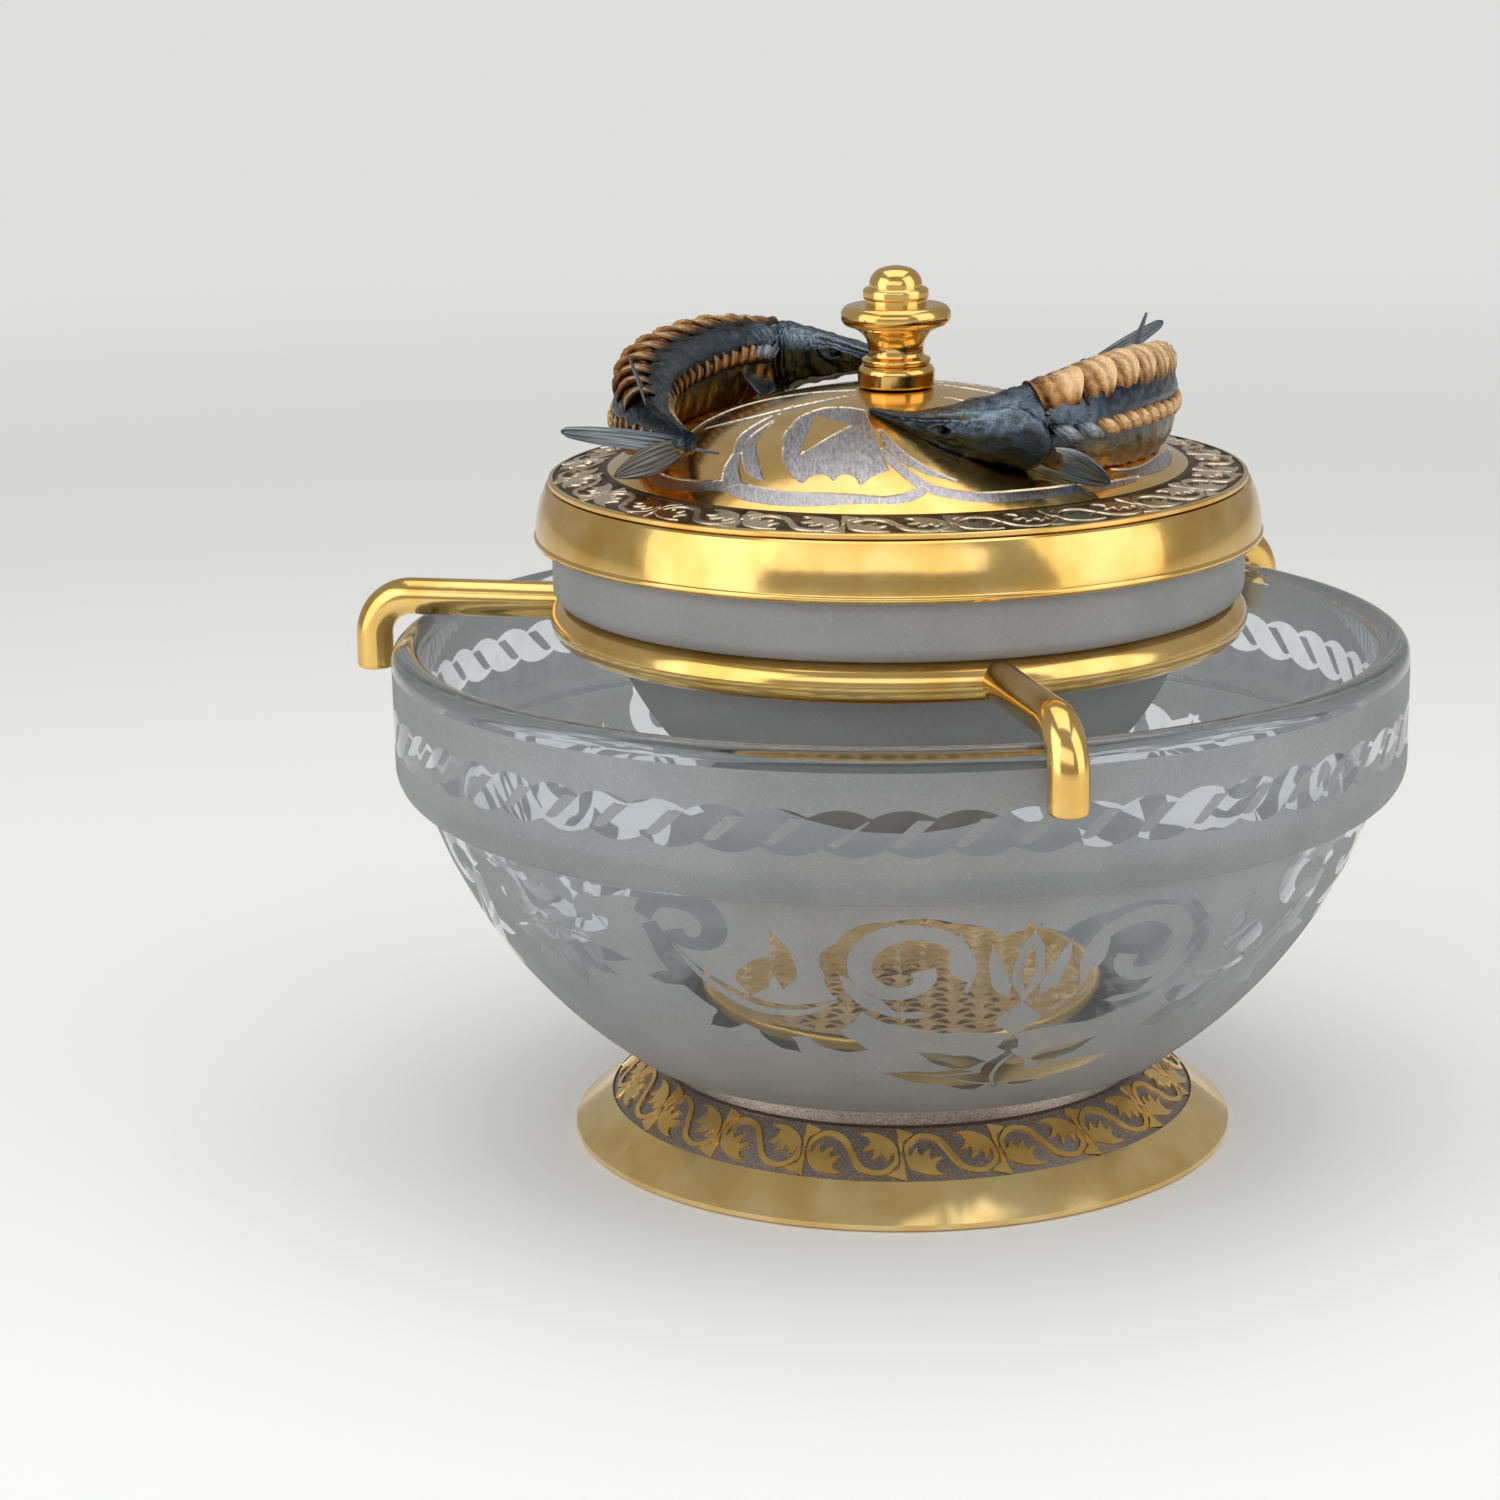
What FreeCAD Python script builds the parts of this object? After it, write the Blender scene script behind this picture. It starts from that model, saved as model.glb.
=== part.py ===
"""Covered caviar server: a footed glass ice bowl, a glass dish hung in it by a ring with hooks, and a lid.

Millimetres. Z points up, z = 0 is the table, and the turning axis of bowl, foot, dish and lid is the Z axis.
The front of the object faces -Y.
"""
import FreeCAD, Part
import math
import os

V = FreeCAD.Vector

# Clearances
rest_gap = 0.1
braze_gap = 0.05
thread_gap = 0.1
screw_hole_gap = 0.25

# Small broken or rounded edges of metal and glass
edge_break = 0.3
turned_break = 0.4

# Foot, turned from brass and gilded
foot_edge_radius = 53.0
foot_edge_height = 1.0
band_outer_radius = 47.0
band_outer_z = 5.75
band_inner_radius = 40.0
band_inner_z = 11.75
etch_depth = 0.3
neck_radius = 38.8
foot_height = 16.0
foot_wall = 2.6
foot_deck = 3.0
foot_deck_round = 1.2
foot_throat = 1.5
neck_flare = 0.6

# Outer bowl, blown into a mould and sandblasted
gasket_thickness = 0.5
bowl_radius = 80.0
bowl_base_radius = 46.8
bowl_wall = 5.0
bowl_floor = 5.0
collar_stand = 1.0
belly_centre_drop = 0.25
collar_height = 23.5
collar_draft = 0.1
collar_lip_rise = 0.9
collar_step_rise = 2.5
bowl_hole_radius = 5.0
bowl_base_break = 0.6
collar_outer_round = 4.6
collar_inner_round = 3.0
collar_step = 1.5

# Fixing between bowl and foot
plate_radius = 32.75
plate_thickness = 2.2
plate_dish = 0.5
plate_lip = 2.4
plate_lip_round = 0.9
stud_radius = 3.0
stud_head_radius = 6.0
stud_head_thickness = 1.0
stud_past_nut = 1.5
gasket_radius = 30.0
foot_washer_radius = 11.0
foot_washer_thickness = 1.6
foot_nut_flats = 10.0
foot_nut_height = 3.2
foot_nut_chamfer = 0.6

# Hanging ring and its three hooks, bent from round rod
rod_radius = 3.0
ring_inset = 2.5
hook_bend = 6.5
hook_drop = 12.0
hook_end_round = 0.7
# The rods are bent and brazed by hand, so each hook has its own direction and stand-off from the bowl.
hook_arms = ["hook_arm_front", "hook_arm_right", "hook_arm_left"]
hook_degrees = [-74.0, 42.5, 170.0]
hook_clearances = [1.5, 1.5, 3.6]

# Inner dish, frosted glass
dish_collar_radius = 54.3
dish_collar_height = 14.4
dish_wall = 3.6
dish_overhang = 6.3
dish_centre_rise = 9.3
dish_base_radius = 15.0
dish_collar_round = 2.4
dish_rim_round = 1.6
dish_step_round = 2.0
dish_step_rise = 3.0
dish_floor_arc = 40.0

# Lid
lid_overlap = 5.0
lid_skirt_gap = 0.5
lid_band_height = 8.8
lid_band_thickness = 2.3
lid_bead = 1.2
lid_ledge = 3.6
lid_seat_width = 0.5
lid_band_bulge = 0.35
lid_plate_inset = 2.5
lid_plate_thickness = 0.9
lid_ring_width = 9.3
lid_ring_rise = 1.2
dome_rise = 12.0

# Knob
knob_base_radius = 6.0
knob_base_height = 3.5
knob_base_round = 1.3
knob_bead_radius = 5.4
knob_bead_height = 1.0
knob_neck_radius = 4.4
knob_neck_round = 0.3
knob_flare_radius = 6.5
knob_disc_radius = 8.55
knob_disc_height = 3.3
knob_disc_round = 1.5
knob_groove = 0.8
knob_groove_depth = 0.4
knob_step_radius = 5.1
knob_step_height = 1.9
knob_step_low_round = 0.5
knob_step_top_round = 0.7
knob_cap_radius = 4.1
knob_cap_height = 3.3
knob_cap_wall = 0.5
knob_crown_share = 0.6
knob_crown_drop = 0.45
knob_height = 18.7
knob_screw_radius = 2.0
knob_screw_length = 9.0
knob_screw_head_radius = 3.6
knob_screw_head = 2.4
knob_screw_socket_radius = 1.2
knob_screw_socket = 1.0
knob_screw_clear = 2.0
knob_drill_point = 1.0
knob_washer_radius = 5.0
knob_washer_thickness = 0.8

# Sturgeons, cast, one on each side of the lid
fish_boss_radius = 2.6
fish_boss_height = 5.0
fish_boss_sink = 1.0
fish_screw_radius = 1.25
fish_screw_bite = 4.0
fish_screw_clear = 0.6
fish_screw_head_radius = 2.3
fish_screw_head = 1.5
drill_past = 2.0
dorsal_scutes = 10
lateral_scutes = 22
fin_thickness = 0.9
fish_keel_share = 0.46
# Places on the lid are given for the casting on the right and turned half round for the other.
# They are multiples of fish_unit, and heights are counted from the dome's top. Each station of the body is
# x, y, height of the side ridges, half width, height of the back over the side ridges, depth of the belly
# under them, and lean outwards in degrees.
fish_unit = 1.0
fish_bosses = [(17.5, -29.2), (38.5, -2.0)]
scutes_start = 0.33
dorsal_scutes_end = 0.78
lateral_scutes_end = 0.9
breast_fin_tip = (31.5, -33.0, -9.9)
inner_fin_tip = (22.0, -17.0, -3.6)
back_fin_tip = (40.1, 21.7, 8.0)
vent_fin_tip = (26.5, 29.5, -5.5)
lower_lobe_tip = (42.0, 31.0, -8.5)
right_tail_tip = (44.0, 38.0, 4.5)
left_tail_tip = (50.0, 28.0, -2.2)
fish_stations = [
    (-4.0, -16.0, -0.5, 0.7, 0.5, 0.5, 0),
    (0.5, -20.6, -0.1, 1.8, 0.9, 1.0, 3),
    (5.5, -25.0, 0.3, 3.0, 1.8, 2.2, 7),
    (11.5, -28.7, 0.5, 4.3, 3.3, 4.2, 12),
    (18.0, -30.6, 0.6, 5.3, 4.6, 6.4, 16),
    (24.5, -28.2, 1.2, 5.8, 5.4, 8.5, 20),
    (29.5, -22.5, 1.7, 5.9, 5.6, 9.6, 22),
    (33.6, -15.5, 1.7, 5.8, 5.6, 10.2, 22),
    (37.0, -7.0, 1.2, 5.6, 5.4, 9.8, 22),
    (38.8, 2.0, 0.5, 5.2, 5.0, 8.8, 21),
    (39.2, 10.5, -0.4, 4.6, 4.4, 7.4, 18),
    (38.2, 18.5, -0.9, 3.8, 3.6, 5.6, 14),
    (36.0, 25.5, -1.4, 2.9, 2.7, 4.0, 10),
    (33.2, 31.0, -2.2, 2.1, 2.0, 2.8, 6),
    (30.6, 35.0, -2.8, 1.5, 1.6, 1.9, 3),
]
# Each casting is bent a little by hand as it is fitted: what this adds to the heights of its first stations.
right_fish_bend = [-0.7, -1.7, -1.9, -1.5, -0.9, -0.3]
left_fish_bend = [0.6, 0.9, 1.1, 1.2, 1.1, 0.7, 0.3]

# Sizes and levels that follow from the sizes above
belly_radius = bowl_radius - collar_stand
bowl_base_z = foot_height + gasket_thickness
bowl_floor_z = bowl_base_z + bowl_floor
belly_centre_z = bowl_base_z + bowl_base_break + math.sqrt(belly_radius ** 2 - bowl_base_radius ** 2)
rim_z = belly_centre_z + belly_centre_drop
dish_belly_radius = dish_collar_radius - dish_overhang
ring_radius = dish_collar_radius - ring_inset
ring_z = rim_z + rest_gap + rod_radius
dish_seat_z = ring_z + rod_radius + rest_gap
dish_centre_z = dish_seat_z + dish_centre_rise
dish_rim_z = dish_seat_z + dish_collar_height
ledge_z = dish_rim_z + rest_gap
band_low_z = ledge_z - lid_overlap
band_top_z = band_low_z + lid_band_height
lid_band_radius = dish_collar_radius + lid_skirt_gap + lid_band_thickness
lid_plate_radius = lid_band_radius - lid_plate_inset
plate_edge_z = band_top_z + rest_gap
plate_top_z = plate_edge_z + lid_plate_thickness
dome_radius = lid_plate_radius - lid_ring_width
dome_edge_z = plate_top_z + lid_ring_rise
dome_sphere = (dome_radius ** 2 + dome_rise ** 2) / (2 * dome_rise)
dome_top_z = dome_edge_z + dome_rise
dome_centre_z = dome_top_z - dome_sphere
under_dome_sphere = dome_sphere - lid_plate_thickness
washer_top_z = dome_centre_z + math.sqrt(under_dome_sphere ** 2 - knob_washer_radius ** 2) - rest_gap


def via(x, z):
    """A point on the arc between the two corners beside it."""
    return ("via", x, z)


def outline(points):
    """Closed face in the XZ plane. A corner is (x, z), or (x, z, round) between two straight sides."""
    corners = []
    middles = {}
    for point in points:
        if point[0] == "via":
            middles[len(corners) - 1] = V(point[1], 0, point[2])
        else:
            corners.append(point)
    starts = []
    ends = []
    edges = []
    for index, corner in enumerate(corners):
        here = V(corner[0], 0, corner[1])
        if len(corner) == 2:
            starts.append(here)
            ends.append(here)
            continue
        before = corners[index - 1]
        after = corners[(index + 1) % len(corners)]
        back = (V(before[0], 0, before[1]) - here).normalize()
        ahead = (V(after[0], 0, after[1]) - here).normalize()
        half = back.getAngle(ahead) / 2
        setback = corner[2] / math.tan(half)
        bisector = (back + ahead).normalize()
        middle = here + bisector * (corner[2] / math.sin(half) - corner[2])
        starts.append(here + back * setback)
        ends.append(here + ahead * setback)
        edges.append(Part.Arc(starts[-1], middle, ends[-1]).toShape())
    for index, end in enumerate(ends):
        start = starts[(index + 1) % len(starts)]
        if index in middles:
            edges.append(Part.Arc(end, middles[index], start).toShape())
        elif end.distanceToPoint(start) > 1e-6:
            edges.append(Part.LineSegment(end, start).toShape())
    return Part.Face(Part.Wire(Part.__sortEdges__(edges)))


def turned(points):
    """Solid of revolution about Z."""
    return outline(points).revolve(V(0, 0, 0), V(0, 0, 1), 360)


def sphere_radius_at(sphere, centre_z, z):
    """Radius of a sphere's level circle."""
    return math.sqrt(sphere ** 2 - (z - centre_z) ** 2)


def dome_z(radius):
    """Height of the dome's outer surface at a distance from the axis."""
    return dome_centre_z + math.sqrt(dome_sphere ** 2 - radius ** 2)


def under_dome_z(radius):
    """Height of the dome's inner surface at a distance from the axis."""
    return dome_centre_z + math.sqrt(under_dome_sphere ** 2 - radius ** 2)


def sphere_via(sphere, centre_z, z):
    """Via point on a sphere about the axis."""
    return via(sphere_radius_at(sphere, centre_z, z), z)


def outer_bowl():
    """Heavy glass: a ball-shaped belly under an upright collar that stands out over it with a rounded lip."""
    centre_z = belly_centre_z
    notch_z = rim_z - collar_height
    notch = sphere_radius_at(belly_radius, centre_z, notch_z)
    foot_z = bowl_base_z + bowl_base_break
    inner = belly_radius - bowl_wall
    step_z = notch_z + collar_step
    step = sphere_radius_at(inner, centre_z, step_z)
    floor = sphere_radius_at(inner, centre_z, bowl_floor_z)
    lip = bowl_radius - collar_draft
    rim_round = bowl_wall * 0.48
    return turned([
        (bowl_hole_radius, bowl_base_z),
        (bowl_base_radius - bowl_base_break, bowl_base_z),
        (bowl_base_radius, foot_z),
        sphere_via(belly_radius, centre_z, (foot_z + notch_z) / 2),
        (notch, notch_z),
        (lip, notch_z + collar_lip_rise, collar_outer_round),
        (bowl_radius, rim_z, rim_round),
        (bowl_radius - bowl_wall, rim_z, rim_round),
        (lip - bowl_wall, step_z + collar_step_rise, collar_inner_round),
        (step, step_z),
        sphere_via(inner, centre_z, (step_z + bowl_floor_z) / 2),
        (floor, bowl_floor_z),
        (bowl_hole_radius, bowl_floor_z),
    ])


def foot():
    """Spun foot: thin edge, polished cone, sunk band for the scrolls, cove neck and a deck for the bowl."""
    slope = math.atan2(band_inner_z - band_outer_z, band_outer_radius - band_inner_radius)
    sunk_x = -etch_depth * math.sin(slope)
    sunk_z = -etch_depth * math.cos(slope)
    deck_z = foot_height - foot_deck
    return turned([
        (stud_radius + screw_hole_gap, foot_height),
        (stud_radius + screw_hole_gap, deck_z),
        (neck_radius - foot_wall - foot_throat, deck_z, foot_deck_round),
        (neck_radius - foot_wall - neck_flare, band_inner_z - foot_wall),
        (band_outer_radius - foot_wall, band_outer_z - foot_wall),
        (foot_edge_radius - foot_wall, 0),
        (foot_edge_radius - edge_break, 0),
        (foot_edge_radius, edge_break),
        (foot_edge_radius, foot_edge_height),
        (band_outer_radius, band_outer_z),
        (band_outer_radius + sunk_x, band_outer_z + sunk_z),
        (band_inner_radius + sunk_x, band_inner_z + sunk_z),
        (band_inner_radius, band_inner_z),
        (band_inner_radius - neck_flare, band_inner_z + edge_break),
        via(neck_radius, (band_inner_z + foot_height) / 2),
        (neck_radius + neck_flare, foot_height),
    ])


def clamp_plate():
    """Gilded disc on the bowl's floor: rounded lip, dished middle and a socket for the stud's head."""
    low_z = bowl_floor_z + gasket_thickness
    top_z = low_z + plate_thickness
    socket_z = low_z + stud_head_thickness + rest_gap
    return turned([
        (0, socket_z),
        (stud_head_radius + thread_gap, socket_z),
        (stud_head_radius + thread_gap, low_z),
        (plate_radius - turned_break, low_z),
        (plate_radius, low_z + turned_break),
        (plate_radius, top_z, plate_lip_round),
        (plate_radius - plate_lip, top_z, plate_lip_round),
        (plate_radius - plate_lip - plate_dish, top_z - plate_dish),
        (0, top_z - plate_dish),
    ])


def clamp_stud():
    """Flat-headed stud through the bowl's floor and the foot's deck."""
    head_z = bowl_floor_z + gasket_thickness
    end_z = foot_height - foot_deck - foot_washer_thickness - foot_nut_height - stud_past_nut
    return turned([
        (0, end_z),
        (stud_radius - turned_break, end_z),
        (stud_radius, end_z + turned_break),
        (stud_radius, head_z),
        (stud_head_radius, head_z),
        (stud_head_radius, head_z + stud_head_thickness),
        (0, head_z + stud_head_thickness),
    ])


def ring_washer(hole, radius, low_z, thickness):
    """Flat washer about the axis."""
    return turned([
        (hole, low_z),
        (radius, low_z),
        (radius, low_z + thickness),
        (hole, low_z + thickness),
    ])


def foot_nut():
    """Hexagon nut below the foot's deck, with its top corners turned off."""
    top_z = foot_height - foot_deck - foot_washer_thickness
    low_z = top_z - foot_nut_height
    corner = foot_nut_flats / 2 / math.cos(math.radians(30))
    points = []
    for index in range(7):
        angle = math.radians(60 * index)
        points.append(V(corner * math.cos(angle), corner * math.sin(angle), low_z))
    hexagon = Part.Face(Part.makePolygon(points)).extrude(V(0, 0, foot_nut_height))
    cone = turned([
        (stud_radius + thread_gap, low_z),
        (foot_nut_flats / 2, low_z),
        (corner + edge_break, low_z + foot_nut_chamfer),
        (corner + edge_break, top_z),
        (stud_radius + thread_gap, top_z),
    ])
    return hexagon.common(cone)


def support_ring():
    """Ring of round rod."""
    return Part.makeTorus(ring_radius, rod_radius, V(0, 0, ring_z), V(0, 0, 1))


def hook_arm(azimuth, clearance):
    """Rod from the ring out over the rim and down, with a tight bend, coped to the ring's round."""
    leg_x = bowl_radius + clearance + rod_radius
    bend_x = leg_x - hook_bend
    straight = Part.makeCylinder(rod_radius, bend_x - ring_radius, V(ring_radius, 0, ring_z), V(1, 0, 0))
    section = Part.Face(Part.Wire(Part.makeCircle(rod_radius, V(bend_x, 0, ring_z), V(1, 0, 0))))
    bend = section.revolve(V(bend_x, 0, ring_z - hook_bend), V(0, 1, 0), 90)
    drop_z = ring_z - hook_bend
    end_z = ring_z - hook_drop
    leg = Part.makeCylinder(rod_radius, drop_z - end_z, V(leg_x, 0, end_z), V(0, 0, 1))
    low_edge = [edge for edge in leg.Edges if edge.Closed and edge.CenterOfMass.z < end_z + 0.01]
    leg = leg.makeFillet(hook_end_round, low_edge)
    rod = straight.fuse([bend, leg]).removeSplitter()
    cope = Part.makeTorus(ring_radius, rod_radius + braze_gap, V(0, 0, ring_z), V(0, 0, 1))
    rod = rod.cut(cope)
    rod.rotate(V(0, 0, 0), V(0, 0, 1), azimuth)
    return rod.Solids[0]


def inner_dish():
    """Deep round dish whose collar steps out over the ring and stands up inside the lid."""
    collar = dish_collar_radius
    inner = dish_belly_radius - dish_wall
    neck = sphere_radius_at(dish_belly_radius, dish_centre_z, dish_seat_z)
    base_z = dish_centre_z - math.sqrt(dish_belly_radius ** 2 - dish_base_radius ** 2)
    floor_z = dish_centre_z - inner
    floor_arc = math.radians(dish_floor_arc)
    step_z = dish_seat_z + dish_wall * 0.6
    step = sphere_radius_at(inner, dish_centre_z, step_z)
    return turned([
        (0, base_z),
        (dish_base_radius, base_z),
        sphere_via(dish_belly_radius, dish_centre_z, (base_z + dish_seat_z) / 2),
        (neck, dish_seat_z),
        (collar, dish_seat_z, dish_collar_round),
        (collar, dish_rim_z, dish_rim_round),
        (collar - dish_wall, dish_rim_z, dish_rim_round),
        (collar - dish_wall, step_z + dish_step_rise, dish_step_round),
        (step, step_z),
        via(inner * math.sin(floor_arc), dish_centre_z - inner * math.cos(floor_arc)),
        (0, floor_z),
    ])


def lid_rim():
    """Polished band: a beaded skirt outside the dish's collar and a ledge that rests on its rim."""
    skirt = dish_collar_radius + lid_skirt_gap
    seat = lid_plate_radius + lid_seat_width
    slope = lid_ring_rise / lid_ring_width
    ledge_radius = dish_collar_radius - lid_ledge
    ledge_top = band_top_z + slope * (lid_plate_radius - ledge_radius)
    return turned([
        (skirt, band_low_z + edge_break),
        (skirt + edge_break, band_low_z),
        (lid_band_radius - turned_break, band_low_z),
        via(lid_band_radius, band_low_z + lid_bead / 2),
        (lid_band_radius - edge_break, band_low_z + lid_bead),
        via((lid_band_radius + seat) / 2 + lid_band_bulge, (band_low_z + band_top_z) / 2),
        (seat, band_top_z - edge_break),
        (seat - edge_break, band_top_z),
        (lid_plate_radius, band_top_z),
        (ledge_radius, ledge_top),
        (ledge_radius, ledge_z),
        (skirt, ledge_z),
    ])


def lid_plate():
    """Spun sheet: a gently sloped ring for the scrolls and a dome, drilled for the knob and the castings."""
    hole = knob_screw_radius + screw_hole_gap
    slope = math.atan2(lid_ring_rise, lid_ring_width)
    under = lid_plate_thickness / math.cos(slope)
    low_z = dome_edge_z - under
    low_radius = sphere_radius_at(under_dome_sphere, dome_centre_z, low_z)
    plate = turned([
        (hole, under_dome_z(hole)),
        sphere_via(under_dome_sphere, dome_centre_z, dome_top_z - dome_rise / 2),
        (low_radius, low_z),
        (lid_plate_radius, plate_top_z - under),
        (lid_plate_radius, plate_top_z),
        (dome_radius, dome_edge_z),
        sphere_via(dome_sphere, dome_centre_z, dome_top_z - dome_rise / 3),
        (hole, dome_z(hole)),
    ])
    drills = []
    for spot in fish_bosses:
        hole = fish_screw_radius + screw_hole_gap
        drills.append(dome_cylinder(spot, hole, under_dome_sphere - drill_past, dome_sphere + drill_past))
        drills.append(half_turn(drills[-1]))
    return plate.cut(drills).Solids[0]


def knob():
    """Turned finial with a flared neck, a wide rounded disc and a domed cap, and a tapped hole from below."""
    low = dome_top_z
    top = low + knob_height
    tapped = knob_screw_radius + thread_gap
    cap_z = top - knob_cap_height
    step_z = cap_z - knob_step_height
    disc_top = step_z - knob_groove
    disc_low = disc_top - knob_disc_height
    base_top = low + knob_base_height
    bead_top = base_top + knob_bead_height
    neck_low = bead_top + knob_neck_round
    crown = knob_crown_share * knob_cap_radius
    crown_z = top - knob_crown_drop
    crown_sphere = (crown ** 2 + knob_crown_drop ** 2) / (2 * knob_crown_drop)
    return turned([
        (0, low + knob_screw_length),
        (tapped, low + knob_screw_length - knob_drill_point),
        (tapped, low),
        (knob_base_radius, low, turned_break),
        (knob_base_radius, base_top, knob_base_round),
        (knob_bead_radius - knob_neck_round, base_top),
        via(knob_bead_radius, (base_top + bead_top) / 2),
        (knob_bead_radius - knob_neck_round, bead_top),
        (knob_neck_radius, neck_low),
        via(knob_neck_radius + knob_neck_round, (neck_low + disc_low) / 2 + knob_neck_round),
        (knob_flare_radius, disc_low - knob_neck_round),
        (knob_flare_radius, disc_low),
        (knob_disc_radius, disc_low, knob_disc_round),
        (knob_disc_radius, disc_top, knob_disc_round),
        (knob_step_radius - knob_groove_depth, disc_top),
        (knob_step_radius - knob_groove_depth, step_z),
        (knob_step_radius, step_z, knob_step_low_round),
        (knob_step_radius, cap_z, knob_step_top_round),
        (knob_cap_radius, cap_z),
        (knob_cap_radius, cap_z + knob_cap_wall),
        via(knob_cap_radius * 0.87, (cap_z + knob_cap_wall + crown_z) / 2 + knob_neck_round),
        (crown, crown_z),
        sphere_via(crown_sphere, top - crown_sphere, top - knob_crown_drop * 0.4),
        (0, top),
    ])


def knob_screw():
    """Cheese-head screw up through the washer and the dome into the knob."""
    head_top = washer_top_z - knob_washer_thickness - rest_gap
    end = dome_top_z + knob_screw_length - knob_screw_clear
    head_low = head_top - knob_screw_head
    return turned([
        (0, head_low + knob_screw_socket),
        (knob_screw_socket_radius, head_low + knob_screw_socket),
        (knob_screw_socket_radius, head_low),
        (knob_screw_head_radius, head_low, turned_break),
        (knob_screw_head_radius, head_top),
        (knob_screw_radius, head_top),
        (knob_screw_radius, end - turned_break),
        (knob_screw_radius - turned_break, end),
        (0, end),
    ])


def knob_washer():
    """Plain washer between the screw's head and the dome."""
    low_z = washer_top_z - knob_washer_thickness
    return ring_washer(knob_screw_radius + screw_hole_gap, knob_washer_radius, low_z, knob_washer_thickness)


def fish_place(x, y, rise):
    """Place in space of a place on the casting's drawing."""
    return V(x * fish_unit, y * fish_unit, dome_top_z + rise * fish_unit)


def half_turn(shape):
    """The same shape on the other side of the lid."""
    copy = shape.copy()
    copy.rotate(V(0, 0, 0), V(0, 0, 1), 180)
    return copy


def dome_cylinder(spot, radius, inner, outer):
    """Cylinder square to the dome at a place on it, between two distances from the dome's centre."""
    centre = V(0, 0, dome_centre_z)
    x, y = spot[0] * fish_unit, spot[1] * fish_unit
    normal = (V(x, y, dome_z(math.hypot(x, y))) - centre).normalize()
    return Part.makeCylinder(radius, outer - inner, centre + normal * inner, normal)


def bent_stations(bend):
    """The stations of one casting."""
    stations = list(fish_stations)
    for index, lift in enumerate(bend):
        x, y, rise = stations[index][:3]
        stations[index] = (x, y, rise + lift) + stations[index][3:]
    return stations


def fish_frame(stations, index):
    """Place, side and up directions of one station: the side points away from the lid's axis."""
    x, y, rise = stations[index][:3]
    before = stations[max(index - 1, 0)]
    after = stations[min(index + 1, len(stations) - 1)]
    along = V(after[0] - before[0], after[1] - before[1], after[2] - before[2]).normalize()
    flat_side = along.cross(V(0, 0, 1)).normalize()
    flat_up = flat_side.cross(along).normalize()
    lean = math.radians(stations[index][6])
    side = flat_side * math.cos(lean) - flat_up * math.sin(lean)
    up = flat_up * math.cos(lean) + flat_side * math.sin(lean)
    return fish_place(x, y, rise), side, up, along, flat_up


def section_point(frame, sizes, across, height):
    """Point of a section: across in half widths, height in backs over the ridges or bellies under them."""
    centre, side, up, along, flat_up = frame
    half_width, back, belly = sizes
    if height > 0:
        return centre + side * across * half_width + up * height * back
    return centre + side * across * half_width + flat_up * height * belly


def fish_section(stations, index):
    """Section of the body with the five ridges of a sturgeon: back, two sides, two under the belly."""
    frame = fish_frame(stations, index)
    sizes = [size * fish_unit for size in stations[index][3:6]]

    def at(across, height):
        return section_point(frame, sizes, across, height)

    keel = fish_keel_share
    return Part.Wire([
        Part.Arc(at(0, 1), at(0.64, 0.58), at(1, 0)).toShape(),
        Part.Arc(at(1, 0), at(0.92, -0.56), at(keel, -1)).toShape(),
        Part.LineSegment(at(keel, -1), at(-keel, -1)).toShape(),
        Part.Arc(at(-keel, -1), at(-0.92, -0.56), at(-1, 0)).toShape(),
        Part.Arc(at(-1, 0), at(-0.64, 0.58), at(0, 1)).toShape(),
    ])


def fish_between(stations, share):
    """Frame and section sizes at a share of the way along the stations."""
    place = share * (len(stations) - 1)
    index = min(int(place), len(stations) - 2)
    rest = place - index
    near = fish_frame(stations, index)
    far = fish_frame(stations, index + 1)
    frame = [near[item] * (1 - rest) + far[item] * rest for item in range(5)]
    sizes = [
        (stations[index][item] * (1 - rest) + stations[index + 1][item] * rest) * fish_unit
        for item in (3, 4, 5)
    ]
    return frame, sizes


def fish_scutes(stations):
    """Bony plates: nested cups along the back and a row of small ones along each side."""
    plates = []
    for index in range(dorsal_scutes):
        share = scutes_start + (dorsal_scutes_end - scutes_start) * index / (dorsal_scutes - 1)
        frame, (half_width, back, belly) = fish_between(stations, share)
        centre, side, up, along, flat_up = frame
        size = 0.62 * half_width
        start = centre + up * (back - size * 0.72) - along * size * 0.6
        plates.append(Part.makeCone(size * 0.72, size * 1.08, size * 1.35, start, along))
    for index in range(lateral_scutes):
        share = scutes_start + (lateral_scutes_end - scutes_start) * index / (lateral_scutes - 1)
        frame, (half_width, back, belly) = fish_between(stations, share)
        centre, side, up, along, flat_up = frame
        size = 0.2 * half_width + 0.3 * fish_unit
        for hand in (1, -1):
            start = centre + side * hand * (half_width - size * 0.45) - along * size
            plates.append(Part.makeCone(size * 0.6, size, size * 1.8, start, along))
    return plates


def fin_blade(root, root_end, tip, bulge):
    """Thin leaf-shaped blade between the two ends of its root and its tip, with both edges bowed outwards."""
    along = tip - root
    across = (root_end - root) - along * ((root_end - root).dot(along) / along.dot(along))
    outward = across.normalize()
    normal = along.cross(outward).normalize()
    lead = (root + tip) * 0.5 - outward * bulge
    trail = (root_end + tip) * 0.5 + outward * bulge
    face = Part.Face(Part.Wire([
        Part.Arc(root, lead, tip).toShape(),
        Part.Arc(tip, trail, root_end).toShape(),
        Part.LineSegment(root_end, root).toShape(),
    ]))
    face.translate(normal * (-fin_thickness / 2))
    return face.extrude(normal * fin_thickness)


def body_point(stations, share, across, height):
    """Point of the body at a share of its length."""
    frame, sizes = fish_between(stations, share)
    return section_point(frame, sizes, across, height)


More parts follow.
